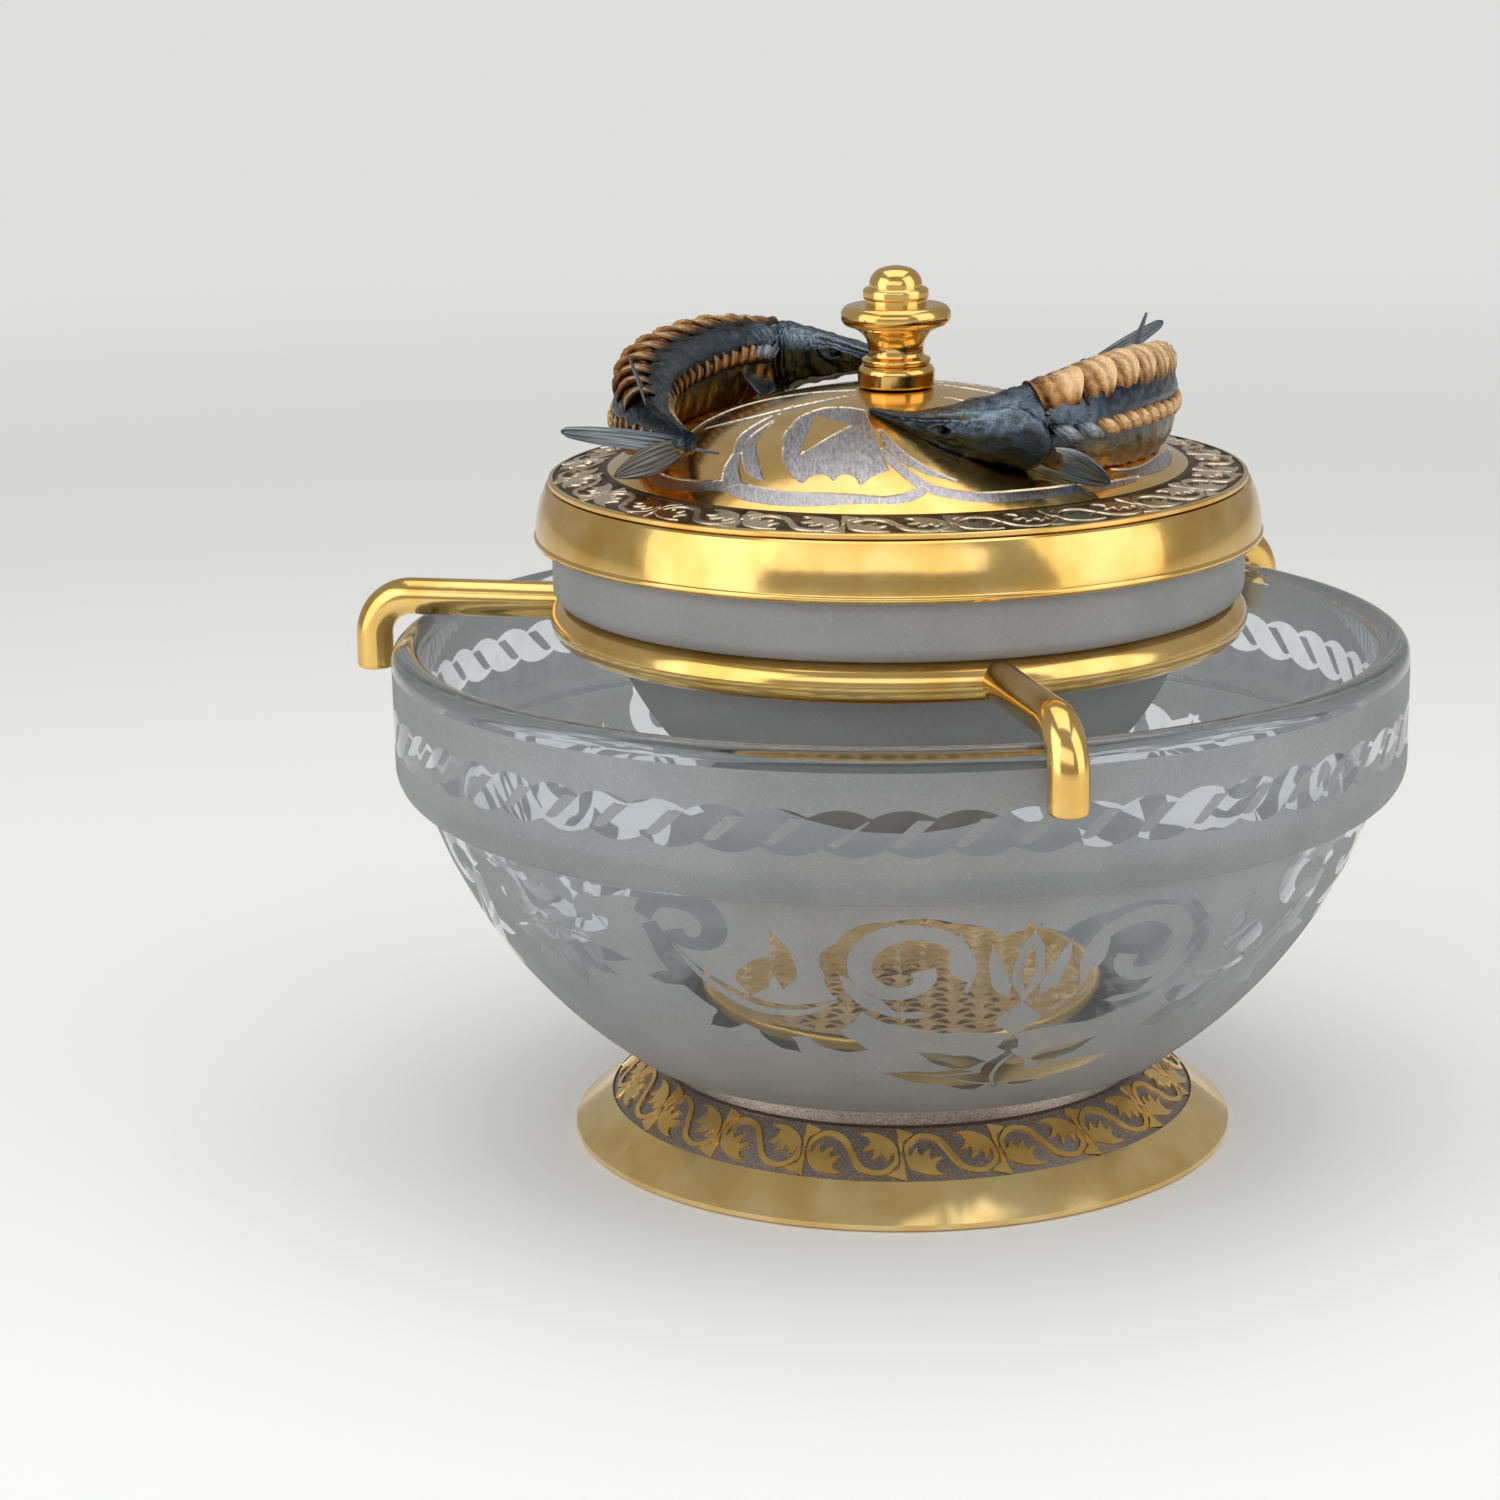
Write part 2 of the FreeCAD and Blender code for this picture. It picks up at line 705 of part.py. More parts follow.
def fish_fins(stations, tail_tip):
    """Two breast fins, the back fin, the fin behind the vent, and the tail with its long upper lobe.

    Each fin has the two ends of its root on the body, its tip, and how far its edges bow out.
    """
    fins = [
        ((0.33, 0.55, -0.75), (0.42, 0.7, -0.5), breast_fin_tip, 0.9),
        ((0.33, -0.55, -0.75), (0.42, -0.7, -0.5), inner_fin_tip, 0.9),
        ((0.76, 0, 0.6), (0.86, 0, 0.5), back_fin_tip, 0.4),
        ((0.84, -0.2, -0.8), (0.93, -0.2, -0.8), vent_fin_tip, 0.4),
        ((1.0, 0, 0.3), (1.0, 0, -0.9), tail_tip, 0.7),
        ((1.0, 0, -0.9), (1.0, 0, 0.3), lower_lobe_tip, 0.6),
    ]
    blades = []
    for root, root_end, tip, bulge in fins:
        start = body_point(stations, *root)
        end = body_point(stations, *root_end)
        blades.append(fin_blade(start, end, fish_place(*tip), bulge * fish_unit))
    return blades


def sturgeon(bend, tail_tip):
    """Casting of a sturgeon that curls round the lid: body, plates, fins and two bosses on the dome."""
    stations = bent_stations(bend)
    body = Part.makeLoft([fish_section(stations, index) for index in range(len(stations))], True, False)
    pieces = fish_scutes(stations) + fish_fins(stations, tail_tip)
    for spot in fish_bosses:
        boss_end = dome_sphere + fish_boss_height
        pieces.append(dome_cylinder(spot, fish_boss_radius, dome_sphere - fish_boss_sink, boss_end))
    casting = body.fuse(pieces)
    clearance = Part.makeSphere(dome_sphere + rest_gap, V(0, 0, dome_centre_z))
    casting = casting.cut(clearance)
    for spot in fish_bosses:
        hole_end = dome_sphere + fish_screw_bite
        casting = casting.cut(dome_cylinder(spot, fish_screw_radius, dome_sphere - drill_past, hole_end))
    return casting


def sturgeon_screws():
    """Four small screws from under the dome, two into each casting."""
    screws = []
    for spot in fish_bosses:
        head_out = dome_sphere - lid_plate_thickness - rest_gap
        shank_end = dome_sphere + fish_screw_bite - fish_screw_clear
        shank = dome_cylinder(spot, fish_screw_radius - thread_gap, head_out - turned_break, shank_end)
        head = dome_cylinder(spot, fish_screw_head_radius, head_out - fish_screw_head, head_out)
        screw = head.fuse(shank).removeSplitter()
        screws.append(screw)
        screws.append(half_turn(screw))
    return Part.makeCompound(screws)


PARTS = "parts"


def save(shape, name):
    """Write one piece."""
    shape.exportStep(os.path.join(PARTS, name + ".step"))
    print(name, round(shape.Volume, 1), "mm3", "valid" if shape.isValid() else "NOT VALID", len(shape.Solids))


os.makedirs(PARTS, exist_ok=True)
save(outer_bowl(), "outer_bowl")
save(foot(), "foot")
save(clamp_plate(), "clamp_plate")
save(clamp_stud(), "clamp_stud")
save(support_ring(), "support_ring")
for arm, azimuth, clearance in zip(hook_arms, hook_degrees, hook_clearances):
    save(hook_arm(azimuth, clearance), arm)
save(inner_dish(), "inner_dish")
save(lid_rim(), "lid_rim")
save(lid_plate(), "lid_plate")
save(knob(), "knob")
save(knob_screw(), "knob_screw")
save(knob_washer(), "knob_washer")
save(foot_nut(), "foot_nut")
save(ring_washer(bowl_hole_radius, gasket_radius, bowl_floor_z, gasket_thickness), "upper_gasket")
save(ring_washer(bowl_hole_radius, neck_radius - 1.0, foot_height, gasket_thickness), "lower_gasket")
save(
    ring_washer(
        stud_radius + screw_hole_gap,
        foot_washer_radius,
        foot_height - foot_deck - foot_washer_thickness,
        foot_washer_thickness,
    ),
    "foot_washer",
)
save(sturgeon(right_fish_bend, right_tail_tip), "sturgeon_right")
save(half_turn(sturgeon(left_fish_bend, left_tail_tip)), "sturgeon_left")
save(sturgeon_screws(), "sturgeon_screws")
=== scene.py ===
# %% [markdown]
# A covered caviar server: a footed glass bowl for ice, a small glass dish that hangs in it from three
# gilded hooks, and a lid with a turned knob and two cast sturgeons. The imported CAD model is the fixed
# frame of the scene. This script gives every CAD solid its finish and replaces the ones that need more
# than a finish: the glass gets its sandblasted and clear pattern, the lid its engraving, and the
# sturgeons their carving.

# %% Load the frame
import bpy
import math
from bisect import bisect_right
from mathutils import Matrix, Vector, noise
from mathutils.geometry import delaunay_2d_cdt


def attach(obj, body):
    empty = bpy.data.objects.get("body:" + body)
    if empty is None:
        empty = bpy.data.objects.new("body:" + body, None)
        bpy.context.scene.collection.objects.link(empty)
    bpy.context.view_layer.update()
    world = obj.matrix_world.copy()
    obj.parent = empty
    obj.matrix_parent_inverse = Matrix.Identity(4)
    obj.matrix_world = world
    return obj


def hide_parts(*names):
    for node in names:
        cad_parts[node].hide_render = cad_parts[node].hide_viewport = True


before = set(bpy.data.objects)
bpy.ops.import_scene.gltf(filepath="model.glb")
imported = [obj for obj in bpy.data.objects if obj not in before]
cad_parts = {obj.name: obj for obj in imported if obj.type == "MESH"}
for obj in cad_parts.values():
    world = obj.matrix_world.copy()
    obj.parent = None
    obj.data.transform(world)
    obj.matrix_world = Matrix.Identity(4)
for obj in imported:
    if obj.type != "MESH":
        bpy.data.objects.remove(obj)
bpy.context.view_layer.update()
MM = 0.001

# %% [markdown]
# The camera stands where the photograph was taken from: a little above the rim, so that the lid is seen
# almost from the side and the bowl's mouth as a thin oval. A long lens keeps the uprights nearly
# parallel. Its place was found by matching the ovals of rim, ring and foot, and it turns by a degree
# about its own axis.

# %% Camera
CAMERA_DISTANCE = 580.27
CAMERA_HEIGHT = 206.27
TARGET = Vector((-23.75, 0, 61.36))
CAMERA_ROLL = -0.0166
PHOTO_WIDTH = 1500
FOCAL_PIXELS = 3746.57
SENSOR = 36.0

place = Vector((0, -CAMERA_DISTANCE, CAMERA_HEIGHT))
forward = (TARGET - place).normalized()
level = forward.cross(Vector((0, 0, 1))).normalized()
upright = level.cross(forward)
right = level * math.cos(CAMERA_ROLL) + upright * math.sin(CAMERA_ROLL)
upward = upright * math.cos(CAMERA_ROLL) - level * math.sin(CAMERA_ROLL)
facing = Matrix((right, upward, -forward)).transposed().to_4x4()
lens = bpy.data.cameras.new("camera")
lens.sensor_width = SENSOR
lens.lens = FOCAL_PIXELS / PHOTO_WIDTH * SENSOR
camera = bpy.data.objects.new("camera", lens)
camera.matrix_world = Matrix.Translation(place * MM) @ facing
bpy.context.scene.collection.objects.link(camera)
bpy.context.scene.camera = camera
bpy.context.scene.view_settings.view_transform = "Standard"
print("lens", round(lens.lens, 2), "mm")

# %% [markdown]
# Materials are small node trees. One function turns a hex colour, as a paint chart gives it, into the
# linear values that the renderer works with, and one adds a node with its settings, its socket values and
# its links. The others name what the trees here are made of: noise, a colour ramp, a change of range, a
# calculation, a mix of colours, and the links to the shader. A value that is the same all over a surface
# is written straight on the shader's socket.

# %% Helpers for materials


def linear(hex_colour):
    """Linear colour of an sRGB hex value."""
    channels = [int(hex_colour[start:start + 2], 16) / 255 for start in (1, 3, 5)]
    return tuple(c / 12.92 if c <= 0.04045 else ((c + 0.055) / 1.055) ** 2.4 for c in channels) + (1.0,)


def add(tree, kind, sockets=None, **settings):
    """Adds a node. A socket's value is a number, a colour, or another node's output, which is linked."""
    made = tree.nodes.new(kind)
    for name, value in settings.items():
        setattr(made, name, value)
    for key, value in (sockets or {}).items():
        if isinstance(value, bpy.types.NodeSocket):
            tree.links.new(value, made.inputs[key])
        else:
            made.inputs[key].default_value = value
    return made


def new_material(name, sockets):
    """A material with one Principled shader. Returns the material, its tree and the shader."""
    material = bpy.data.materials.new(name)
    material.use_nodes = True
    tree = material.node_tree
    tree.nodes.clear()
    shader = add(tree, "ShaderNodeBsdfPrincipled", sockets)
    add(tree, "ShaderNodeOutputMaterial", {"Surface": shader.outputs[0]})
    return material, tree, shader


def object_place(tree):
    """Coordinates of the object, in metres."""
    return add(tree, "ShaderNodeTexCoord").outputs["Object"]


def noise_field(tree, size_mm, detail=2.0, roughness=0.5, stretch=None):
    """Noise on object coordinates whose blobs are about size_mm wide."""
    place = object_place(tree)
    if stretch:
        place = add(tree, "ShaderNodeMapping", {"Vector": place, "Scale": stretch}).outputs[0]
    sockets = {"Vector": place, "Scale": 1 / (size_mm * MM), "Detail": detail, "Roughness": roughness}
    return add(tree, "ShaderNodeTexNoise", sockets).outputs[0]


def ramp(tree, factor, stops):
    """Colour ramp through (position, hex colour) stops."""
    made = add(tree, "ShaderNodeValToRGB", {"Fac": factor})
    elements = made.color_ramp.elements
    for index, (position, colour) in enumerate(stops):
        element = elements[index] if index < 2 else elements.new(position)
        element.position = position
        element.color = linear(colour)
    return made.outputs[0]


def spread(tree, value, low, high):
    """Stretches a 0 to 1 value to a range."""
    return add(tree, "ShaderNodeMapRange", {"Value": value, "To Min": low, "To Max": high}).outputs[0]


def rise_between(tree, value, low, high):
    """0 up to a low value, 1 from a high value on, and even in between."""
    return add(tree, "ShaderNodeMapRange", {"Value": value, "From Min": low, "From Max": high}).outputs[0]


def calculate(tree, operation, *values):
    """Result of a calculation with two or three values."""
    return add(tree, "ShaderNodeMath", dict(enumerate(values)), operation=operation).outputs[0]


def mix(tree, factor, first, second, blend="MIX"):
    """Mix of two colours."""
    sockets = {0: factor, 6: first, 7: second}
    return add(tree, "ShaderNodeMix", sockets, data_type="RGBA", blend_type=blend).outputs[2]


def wire(tree, shader, colour=None, roughness=None, height=None, depth_mm=0.0):
    """Links colour and roughness to the shader, and a bump from a 0 to 1 height that is depth_mm deep."""
    links = {"Base Color": colour, "Roughness": roughness}
    if height is not None:
        sockets = {"Height": height, "Distance": depth_mm * MM}
        links["Normal"] = add(tree, "ShaderNodeBump", sockets).outputs[0]
    for name, output in links.items():
        if output is not None:
            tree.links.new(output, shader.inputs[name])


print("helpers for materials ready")

# %% [markdown]
# Sandblasted glass: grit breaks the surface of soda-lime glass into tiny pits, so light that goes through
# is scattered and the wall looks milky grey with a faint sparkle. A rough transmission does the
# scattering. The pits of real grit are 0.05 mm wide, too fine to show, so they are drawn 0.45 mm wide.
# Where the resist covered the wall, the glass is still polished and clear, and everything behind it
# shows. It has a faint grey tint here, so that the pattern can be read against a pale ground.

# %% Glass
GLASS_IOR = 1.5
GRIT = 0.45


def sandblasted_glass(name, dark, light):
    """Broken surface: a slow cloud from dark to light, with specks where a pit catches the light."""
    values = {"Roughness": 0.6, "IOR": GLASS_IOR, "Transmission Weight": 0.55}
    material, tree, shader = new_material(name, values)
    grit = noise_field(tree, GRIT, 1.0)
    cloud = ramp(tree, noise_field(tree, 14.0), [(0.3, dark), (0.7, light)])
    specks = ramp(tree, grit, [(0.58, "#000000"), (0.7, "#4C5056")])
    wire(tree, shader, mix(tree, 1.0, cloud, specks, "ADD"), height=grit, depth_mm=0.04)
    return material


def polished_glass(name, tint):
    """Clear glass with the faintest wear."""
    values = {"Base Color": linear(tint), "IOR": GLASS_IOR, "Transmission Weight": 1.0}
    material, tree, shader = new_material(name, values)
    wire(tree, shader, roughness=spread(tree, noise_field(tree, 3.0, 3.0), 0.0, 0.03))
    return material


frosted = sandblasted_glass("sandblasted_glass", "#9DA0A2", "#ACAEAF")
frosted_dish = sandblasted_glass("sandblasted_dish_glass", "#BDBEBE", "#CACACA")
clear = polished_glass("polished_glass", "#E3E7EB")
print("glass", frosted.name, frosted_dish.name, clear.name)

# %% [markdown]
# Gilded brass: the brass is buffed bright and plated with fine gold, so it mirrors the room in a warm
# yellow. Buffing leaves hairlines and a slight waviness of less than a tenth of a millimetre, which break
# a reflection up a little. The cloud of deeper gold is the plating's own uneven thickness.

# %% Gilding
GOLD = "#F1CA7E"
GOLD_DEEP = "#E3B561"


def gilding(name, roughness=0.14, light=GOLD, deep=GOLD_DEEP):
    """Buffed and plated metal. The hairlines give from 0.6 to 1.6 times the roughness."""
    material, tree, shader = new_material(name, {"Metallic": 1.0})
    colour = ramp(tree, noise_field(tree, 9.0, 3.0), [(0.35, deep), (0.6, light)])
    hairlines = noise_field(tree, 0.5, 4.0, stretch=(1, 1, 6))
    rough = spread(tree, hairlines, roughness * 0.6, roughness * 1.6)
    wire(tree, shader, colour, rough, noise_field(tree, 6.0), depth_mm=0.05)
    return material


gold = gilding("polished_gilding")
gold_cast = gilding("buffed_scroll_gilding", 0.2)
print("gilding", gold.name, gold_cast.name)

# %% [markdown]
# Etched metal is bitten by acid, which leaves a grain of about a quarter of a millimetre. The sunk ground
# is coloured a dark brown, and as it is never buffed again it hardly mirrors. The raised scrolls and the
# edges of the leaves are brushed bright, with only a trace of the grain.

# %% Etched metal


def etched_metal(name, light, dark, roughness):
    material, tree, shader = new_material(name, {"Metallic": 1.0})
    grain = noise_field(tree, 0.25, 3.0, 0.7)
    patches = calculate(tree, "MULTIPLY", grain, noise_field(tree, 4.0))
    colour = ramp(tree, patches, [(0.12, dark), (0.4, light)])
    wire(tree, shader, colour, spread(tree, grain, roughness * 0.8, roughness * 1.3), grain, depth_mm=0.06)
    return material


silver_edge = etched_metal("bright_silver_edge", "#F2E2C8", "#D6C2A2", 0.16)
dark_ground = etched_metal("bitten_gilt_ground", "#6E5630", "#241A0E", 0.4)
print("etched", silver_edge.name, dark_ground.name)

# %% [markdown]
# The floor and the wall behind are one pale sheet, as in a product studio. The light is soft: a large
# panel overhead, one on each side and one in front. The world is pale to the camera and through glass, a
# little dimmer as a light, so that the sheet keeps the shadow under the foot, and dim in reflections, so
# that polished metal shows the panels against a darker room. Far from the object the camera sees the
# floor in the colour of the wall, so that the two run into each other.

# %% Stage and light
FLOOR_SIZE = 3.0
FLOOR_DROP = 0.0002
BACKGROUND = "#E9E9E7"
FLOOR_COLOUR = "#F0F0EE"
FADE_FROM = 0.25
FADE_TO = 1.2
WORLD_LIGHT = 0.72
WORLD_GLOSS = 0.45
WORLD_SEEN = 0.9
LAMP_AIM = Vector((0, 0, 70))
# Name, place in millimetres, width and height in metres, power in watts
LAMPS = [
    ("panel_top", (0, 60, 700), 0.6, 0.6, 1.5),
    ("panel_left", (-650, -350, 330), 0.6, 0.8, 2.1),
    ("panel_right", (600, -250, 380), 0.55, 0.8, 1.7),
    ("panel_front", (-100, -800, 450), 1.1, 0.35, 1.3),
]


def make_stage():
    """Floor that takes on the colour of the wall far away, for the camera only."""
    values = {"Base Color": linear(FLOOR_COLOUR), "Roughness": 0.7}
    material, tree, shader = new_material("pale_floor", values)
    away = add(tree, "ShaderNodeVectorMath", {0: object_place(tree)}, operation="LENGTH").outputs["Value"]
    fade = {"Value": away, "From Min": FADE_FROM, "From Max": FADE_TO}
    far = add(tree, "ShaderNodeMapRange", fade, interpolation_type="SMOOTHSTEP").outputs[0]
    seen = add(tree, "ShaderNodeLightPath").outputs["Is Camera Ray"]
    haze = add(tree, "ShaderNodeEmission", {"Color": linear(BACKGROUND), "Strength": WORLD_SEEN}).outputs[0]
    parts = {0: calculate(tree, "MULTIPLY", far, seen), 1: shader.outputs[0], 2: haze}
    mixed = add(tree, "ShaderNodeMixShader", parts).outputs[0]
    tree.links.new(mixed, tree.nodes["Material Output"].inputs["Surface"])
    half = FLOOR_SIZE / 2
    mesh = bpy.data.meshes.new("floor")
    corners = [(-half, -half), (half, -half), (half, half), (-half, half)]
    mesh.from_pydata([(x, y, -FLOOR_DROP) for x, y in corners], [], [(0, 1, 2, 3)])
    mesh.materials.append(material)
    floor = bpy.data.objects.new("floor", mesh)
    bpy.context.scene.collection.objects.link(floor)


def make_world():
    """World whose strength depends on what looks at it."""
    world = bpy.data.worlds.new("studio")
    bpy.context.scene.world = world
    world.use_nodes = True
    tree = world.node_tree
    tree.nodes.clear()
    rays = add(tree, "ShaderNodeLightPath")
    strength = WORLD_LIGHT
    seen_by = {"Is Glossy Ray": WORLD_GLOSS, "Is Transmission Ray": WORLD_SEEN, "Is Camera Ray": WORLD_SEEN}
    for kind, wanted in seen_by.items():
        chosen = {0: rays.outputs[kind], 2: strength, 3: wanted}
        strength = add(tree, "ShaderNodeMix", chosen, data_type="FLOAT").outputs[0]
    back = add(tree, "ShaderNodeBackground", {"Color": linear(BACKGROUND), "Strength": strength})
    add(tree, "ShaderNodeOutputWorld", {"Surface": back.outputs[0]})


def lamp(name, place_mm, width, height, power):
    """Soft panel aimed at the object."""
    light = bpy.data.lights.new(name, "AREA")
    light.shape = "RECTANGLE"
    light.size = width
    light.size_y = height
    light.energy = power
    panel = bpy.data.objects.new(name, light)
    panel.location = Vector(place_mm) * MM
    panel.rotation_euler = (LAMP_AIM - Vector(place_mm)).to_track_quat("-Z", "Y").to_euler()
    bpy.context.scene.collection.objects.link(panel)


make_stage()
make_world()
for settings in LAMPS:
    lamp(*settings)
print("lamps", len(bpy.data.lights))

# %% [markdown]
# The patterns on glass and metal are drawn flat, in millimetres, and then cut into the surface that
# carries them. These helpers draw: a smooth line through a few points, a ribbon of changing width along
# it, a spiral, an outline with bowed sides, and a petal. Others turn an outline over, grow it or move it.

# %% Helpers for drawing
CLOSE = 0.02


def curve_point(nearby, share):
    """Point between the second and the third of four on a curve that runs smoothly through them all."""
    a, b, c, d = nearby
    bend = (c - a) * share + (a * 2 - b * 5 + c * 4 - d) * share ** 2 + (b * 3 - a - c * 3 + d) * share ** 3
    return b + bend * 0.5


def smooth(points, steps=6):
    """Smooth line through points."""
    points = [Vector(p) for p in points]
    nearby = [points[0] * 2 - points[1]] + points + [points[-1] * 2 - points[-2]]
    line = []
    for index in range(len(points) - 1):
        line += [curve_point(nearby[index:index + 4], step / steps) for step in range(steps)]
    return line + [points[-1]]


def blend_values(values, share):
    """Value at a share of the way along a list of numbers."""
    place = share * (len(values) - 1)
    index = min(int(place), len(values) - 2)
    rest = place - index
    rest = rest * rest * (3 - 2 * rest)
    return values[index] * (1 - rest) + values[index + 1] * rest


def ribbon(points, widths, steps=6):
    """Outline of a stroke along a smooth line. widths are full widths from start to end."""
    line = smooth(points, steps)
    last = len(line) - 1
    sides = ([], [])
    for index, here in enumerate(line):
        ahead = line[min(index + 1, last)] - line[max(index - 1, 0)]
        across = Vector((-ahead.y, ahead.x)).normalized() * (blend_values(widths, index / last) / 2)
        sides[0].append(here + across)
        sides[1].append(here - across)
    kept = []
    for point in sides[0] + sides[1][::-1]:
        if not kept or (point - kept[-1]).length > CLOSE:
            kept.append(point)
    if (kept[0] - kept[-1]).length < CLOSE:
        kept.pop()
    return kept


def spiral(centre, start, sweep, shrink, count=9):
    """Points from a start round a centre by sweep degrees, while the distance shrinks to a share."""
    arm = Vector(start) - Vector(centre)
    points = []
    for index in range(count + 1):
        t = index / count
        turn = Matrix.Rotation(math.radians(sweep * t), 2)
        points.append(Vector(centre) + (turn @ arm) * (1 - (1 - shrink) * t))
    return points


def bowed(corners, steps=6):
    """Closed outline through corners, given counterclockwise. Each is x, y and how far the side that starts
    there bows outwards."""
    line = []
    for index, (x, y, bow) in enumerate(corners):
        here = Vector((x, y))
        across = Vector(corners[(index + 1) % len(corners)][:2]) - here
        out = Vector((across.y, -across.x)).normalized() * bow
        count = steps if bow else 1
        for step in range(count):
            t = step / count
            line.append(here + across * t + out * 4 * t * (1 - t))
    return line


def petal(base, tip, width, bend=0.0, fullness=0.45):
    """Leaf shape from base to tip, widest at a share of its length, bowed sideways by bend."""
    base, tip = Vector(base), Vector(tip)
    along = tip - base
    across = Vector((-along.y, along.x)).normalized()
    middle = base + along * fullness + across * bend
    return ribbon([base, middle, tip], [0.0, width, width * 0.75, 0.0], 7)


def mirrored(shape):
    """The shape on the other side of its middle line."""
    return [Vector((-p[0], p[1])) for p in shape]


def counterclockwise(shape):
    """The outline, turned round if it runs clockwise."""
    shape = [Vector(p) for p in shape]
    area = sum(a.x * b.y - b.x * a.y for a, b in zip(shape, shape[1:] + shape[:1]))
    return shape if area > 0 else shape[::-1]


def grown(shape, by):
    """The outline pushed outwards."""
    shape = counterclockwise(shape)
    result = []
    for index, point in enumerate(shape):
        way = (shape[(index + 1) % len(shape)] - shape[index - 1]).normalized()
        result.append(point + Vector((way.y, -way.x)) * by)
    return result


def moved(shape, across, up=0.0, stretch=1.0):
    """The shape stretched sideways and shifted."""
    return [Vector((p[0] * stretch + across, p[1] + up)) for p in shape]


print("petal points", len(petal((0, 0), (10, 0), 3)))

# %% [markdown]
# A flat sheet is cut along the outlines with a constrained triangulation, which keeps every outline as
# edges and says which shapes cover each triangle. The sheet is then rolled up onto the turned surface, so
# a pattern has crisp edges from any distance and each side of an edge has its own material.

# %% Helpers for cutting patterns
RELIEF_SKIRT = 0.15
SAME_POINT = 1e-5
WELD_GRID = 400


def cut_sheet(width, columns, heights, shapes):
    """Flat sheet of this width with rows at these heights, cut along shapes that go on past its seam.
    Returns points, triangles and, for each triangle, the index of the last shape that covers it or -1."""
    points = []
    edges = []
    last = len(heights) - 1
    for row, height in enumerate(heights):
        for column in range(columns + 1):
            points.append(Vector((width * column / columns, height)))
            here = len(points) - 1
            if column and row in (0, last):
                edges.append((here - 1, here))
            if row and column in (0, columns):
                edges.append((here - columns - 1, here))
    faces = []
    owners = []
    for owner, shape in enumerate(shapes):
        shifts = [0.0]
        if min(p[0] for p in shape) < 0:
            shifts.append(width)
        if max(p[0] for p in shape) > width:
            shifts.append(-width)
        for shift in shifts:
            start = len(points)
            points.extend(counterclockwise(moved(shape, shift)))
            faces.append(list(range(start, len(points))))
            owners.append(owner)
    result = delaunay_2d_cdt(points, edges, faces, 0, SAME_POINT, True)
    out_points, out_faces, out_owners = result[0], result[2], result[5]
    kept = []
    cover = []
    for face, inside in zip(out_faces, out_owners):
        middle = sum((out_points[i] for i in face), Vector((0, 0))) / 3
        if 0 < middle.x < width and heights[0] < middle.y < heights[-1]:
            kept.append(tuple(face))
            cover.append(max((owners[i] for i in inside), default=-1))
    return out_points, kept, cover


def cut_relief(shapes, wall, place):
    """Closed relief with the shapes as its tops, sloped walls round them and a thin skirt sunk into the
    ground. place gives the point in space of a flat point at the foot (0) or the top (1) of the relief."""
    points = []
    faces = []
    for shape in [grown(shape, wall) for shape in shapes] + [counterclockwise(shape) for shape in shapes]:
        faces.append(list(range(len(points), len(points) + len(shape))))
        points.extend(shape)
    result = delaunay_2d_cdt(points, [], faces, 0, SAME_POINT, True)
    flat = result[0]
    covered = [(tuple(face), max(owners)) for face, owners in zip(result[2], result[5]) if owners]
    on_top = {i for face, owner in covered if owner >= len(shapes) for i in face}
    inside = [face for face, owner in covered if on_top.intersection(face)]
    upper = {}
    solid_points = []
    for i in sorted({i for face in inside for i in face}):
        upper[i] = len(solid_points)
        solid_points.append(place(flat[i], 1.0 if i in on_top else 0.0))
        solid_points.append(place(flat[i], -RELIEF_SKIRT))
    sides = {(a, b) for face in inside for a, b in zip(face, face[1:] + face[:1])}
    solid_faces = []
    for face in inside:
        solid_faces.append([upper[i] for i in face])
        solid_faces.append([upper[i] + 1 for i in face][::-1])
    for a, b in sorted(sides):
        if (b, a) not in sides:
            solid_faces.append([upper[b], upper[a], upper[a] + 1, upper[b] + 1])
    return solid_points, solid_faces


def weld(points, faces, marks):
    """Joins the faces at points that lie on each other, and drops the faces that this closes up."""
    first = {}
    number = []
    for index, point in enumerate(points):
        number.append(first.setdefault(tuple(round(c * WELD_GRID) for c in point), index))
    joined = []
    for face, mark in zip(faces, marks):
        corners = list(dict.fromkeys(number[i] for i in face))
        if len(corners) > 2:
            joined.append((corners, mark))
    return [face for face, mark in joined], [mark for face, mark in joined]


def shifted(faces, by):
    """The faces with their point numbers raised."""
    return [tuple(i + by for i in face) for face in faces]


def make_mesh(name, points_mm, faces, materials, face_materials=None, normals=None):
    """Mesh object from points in millimetres, shaded smooth. Points of no face are left out."""
    number = {old: new for new, old in enumerate(sorted({i for face in faces for i in face}))}
    faces = [[number[i] for i in face] for face in faces]
    mesh = bpy.data.meshes.new(name)
    mesh.from_pydata([Vector(points_mm[i]) * MM for i in number], [], faces)
    for material in materials:
        mesh.materials.append(material)
    if face_materials:
        mesh.polygons.foreach_set("material_index", face_materials)
    mesh.polygons.foreach_set("use_smooth", [True] * len(mesh.polygons))
    if normals:
        mesh.normals_split_custom_set_from_vertices([normals[i] for i in number])
    piece = bpy.data.objects.new(name, mesh)
    bpy.context.scene.collection.objects.link(piece)
    return piece


def crease(piece, degrees):
    """Sharp edges where faces meet at more than an angle."""
    piece.data.set_sharp_from_angle(angle=math.radians(degrees))


def keep_value(piece, name, values):
    """Keeps a number at every point, for the finish to read."""
    piece.data.attributes.new(name, "FLOAT", "POINT").data.foreach_set("value", values)


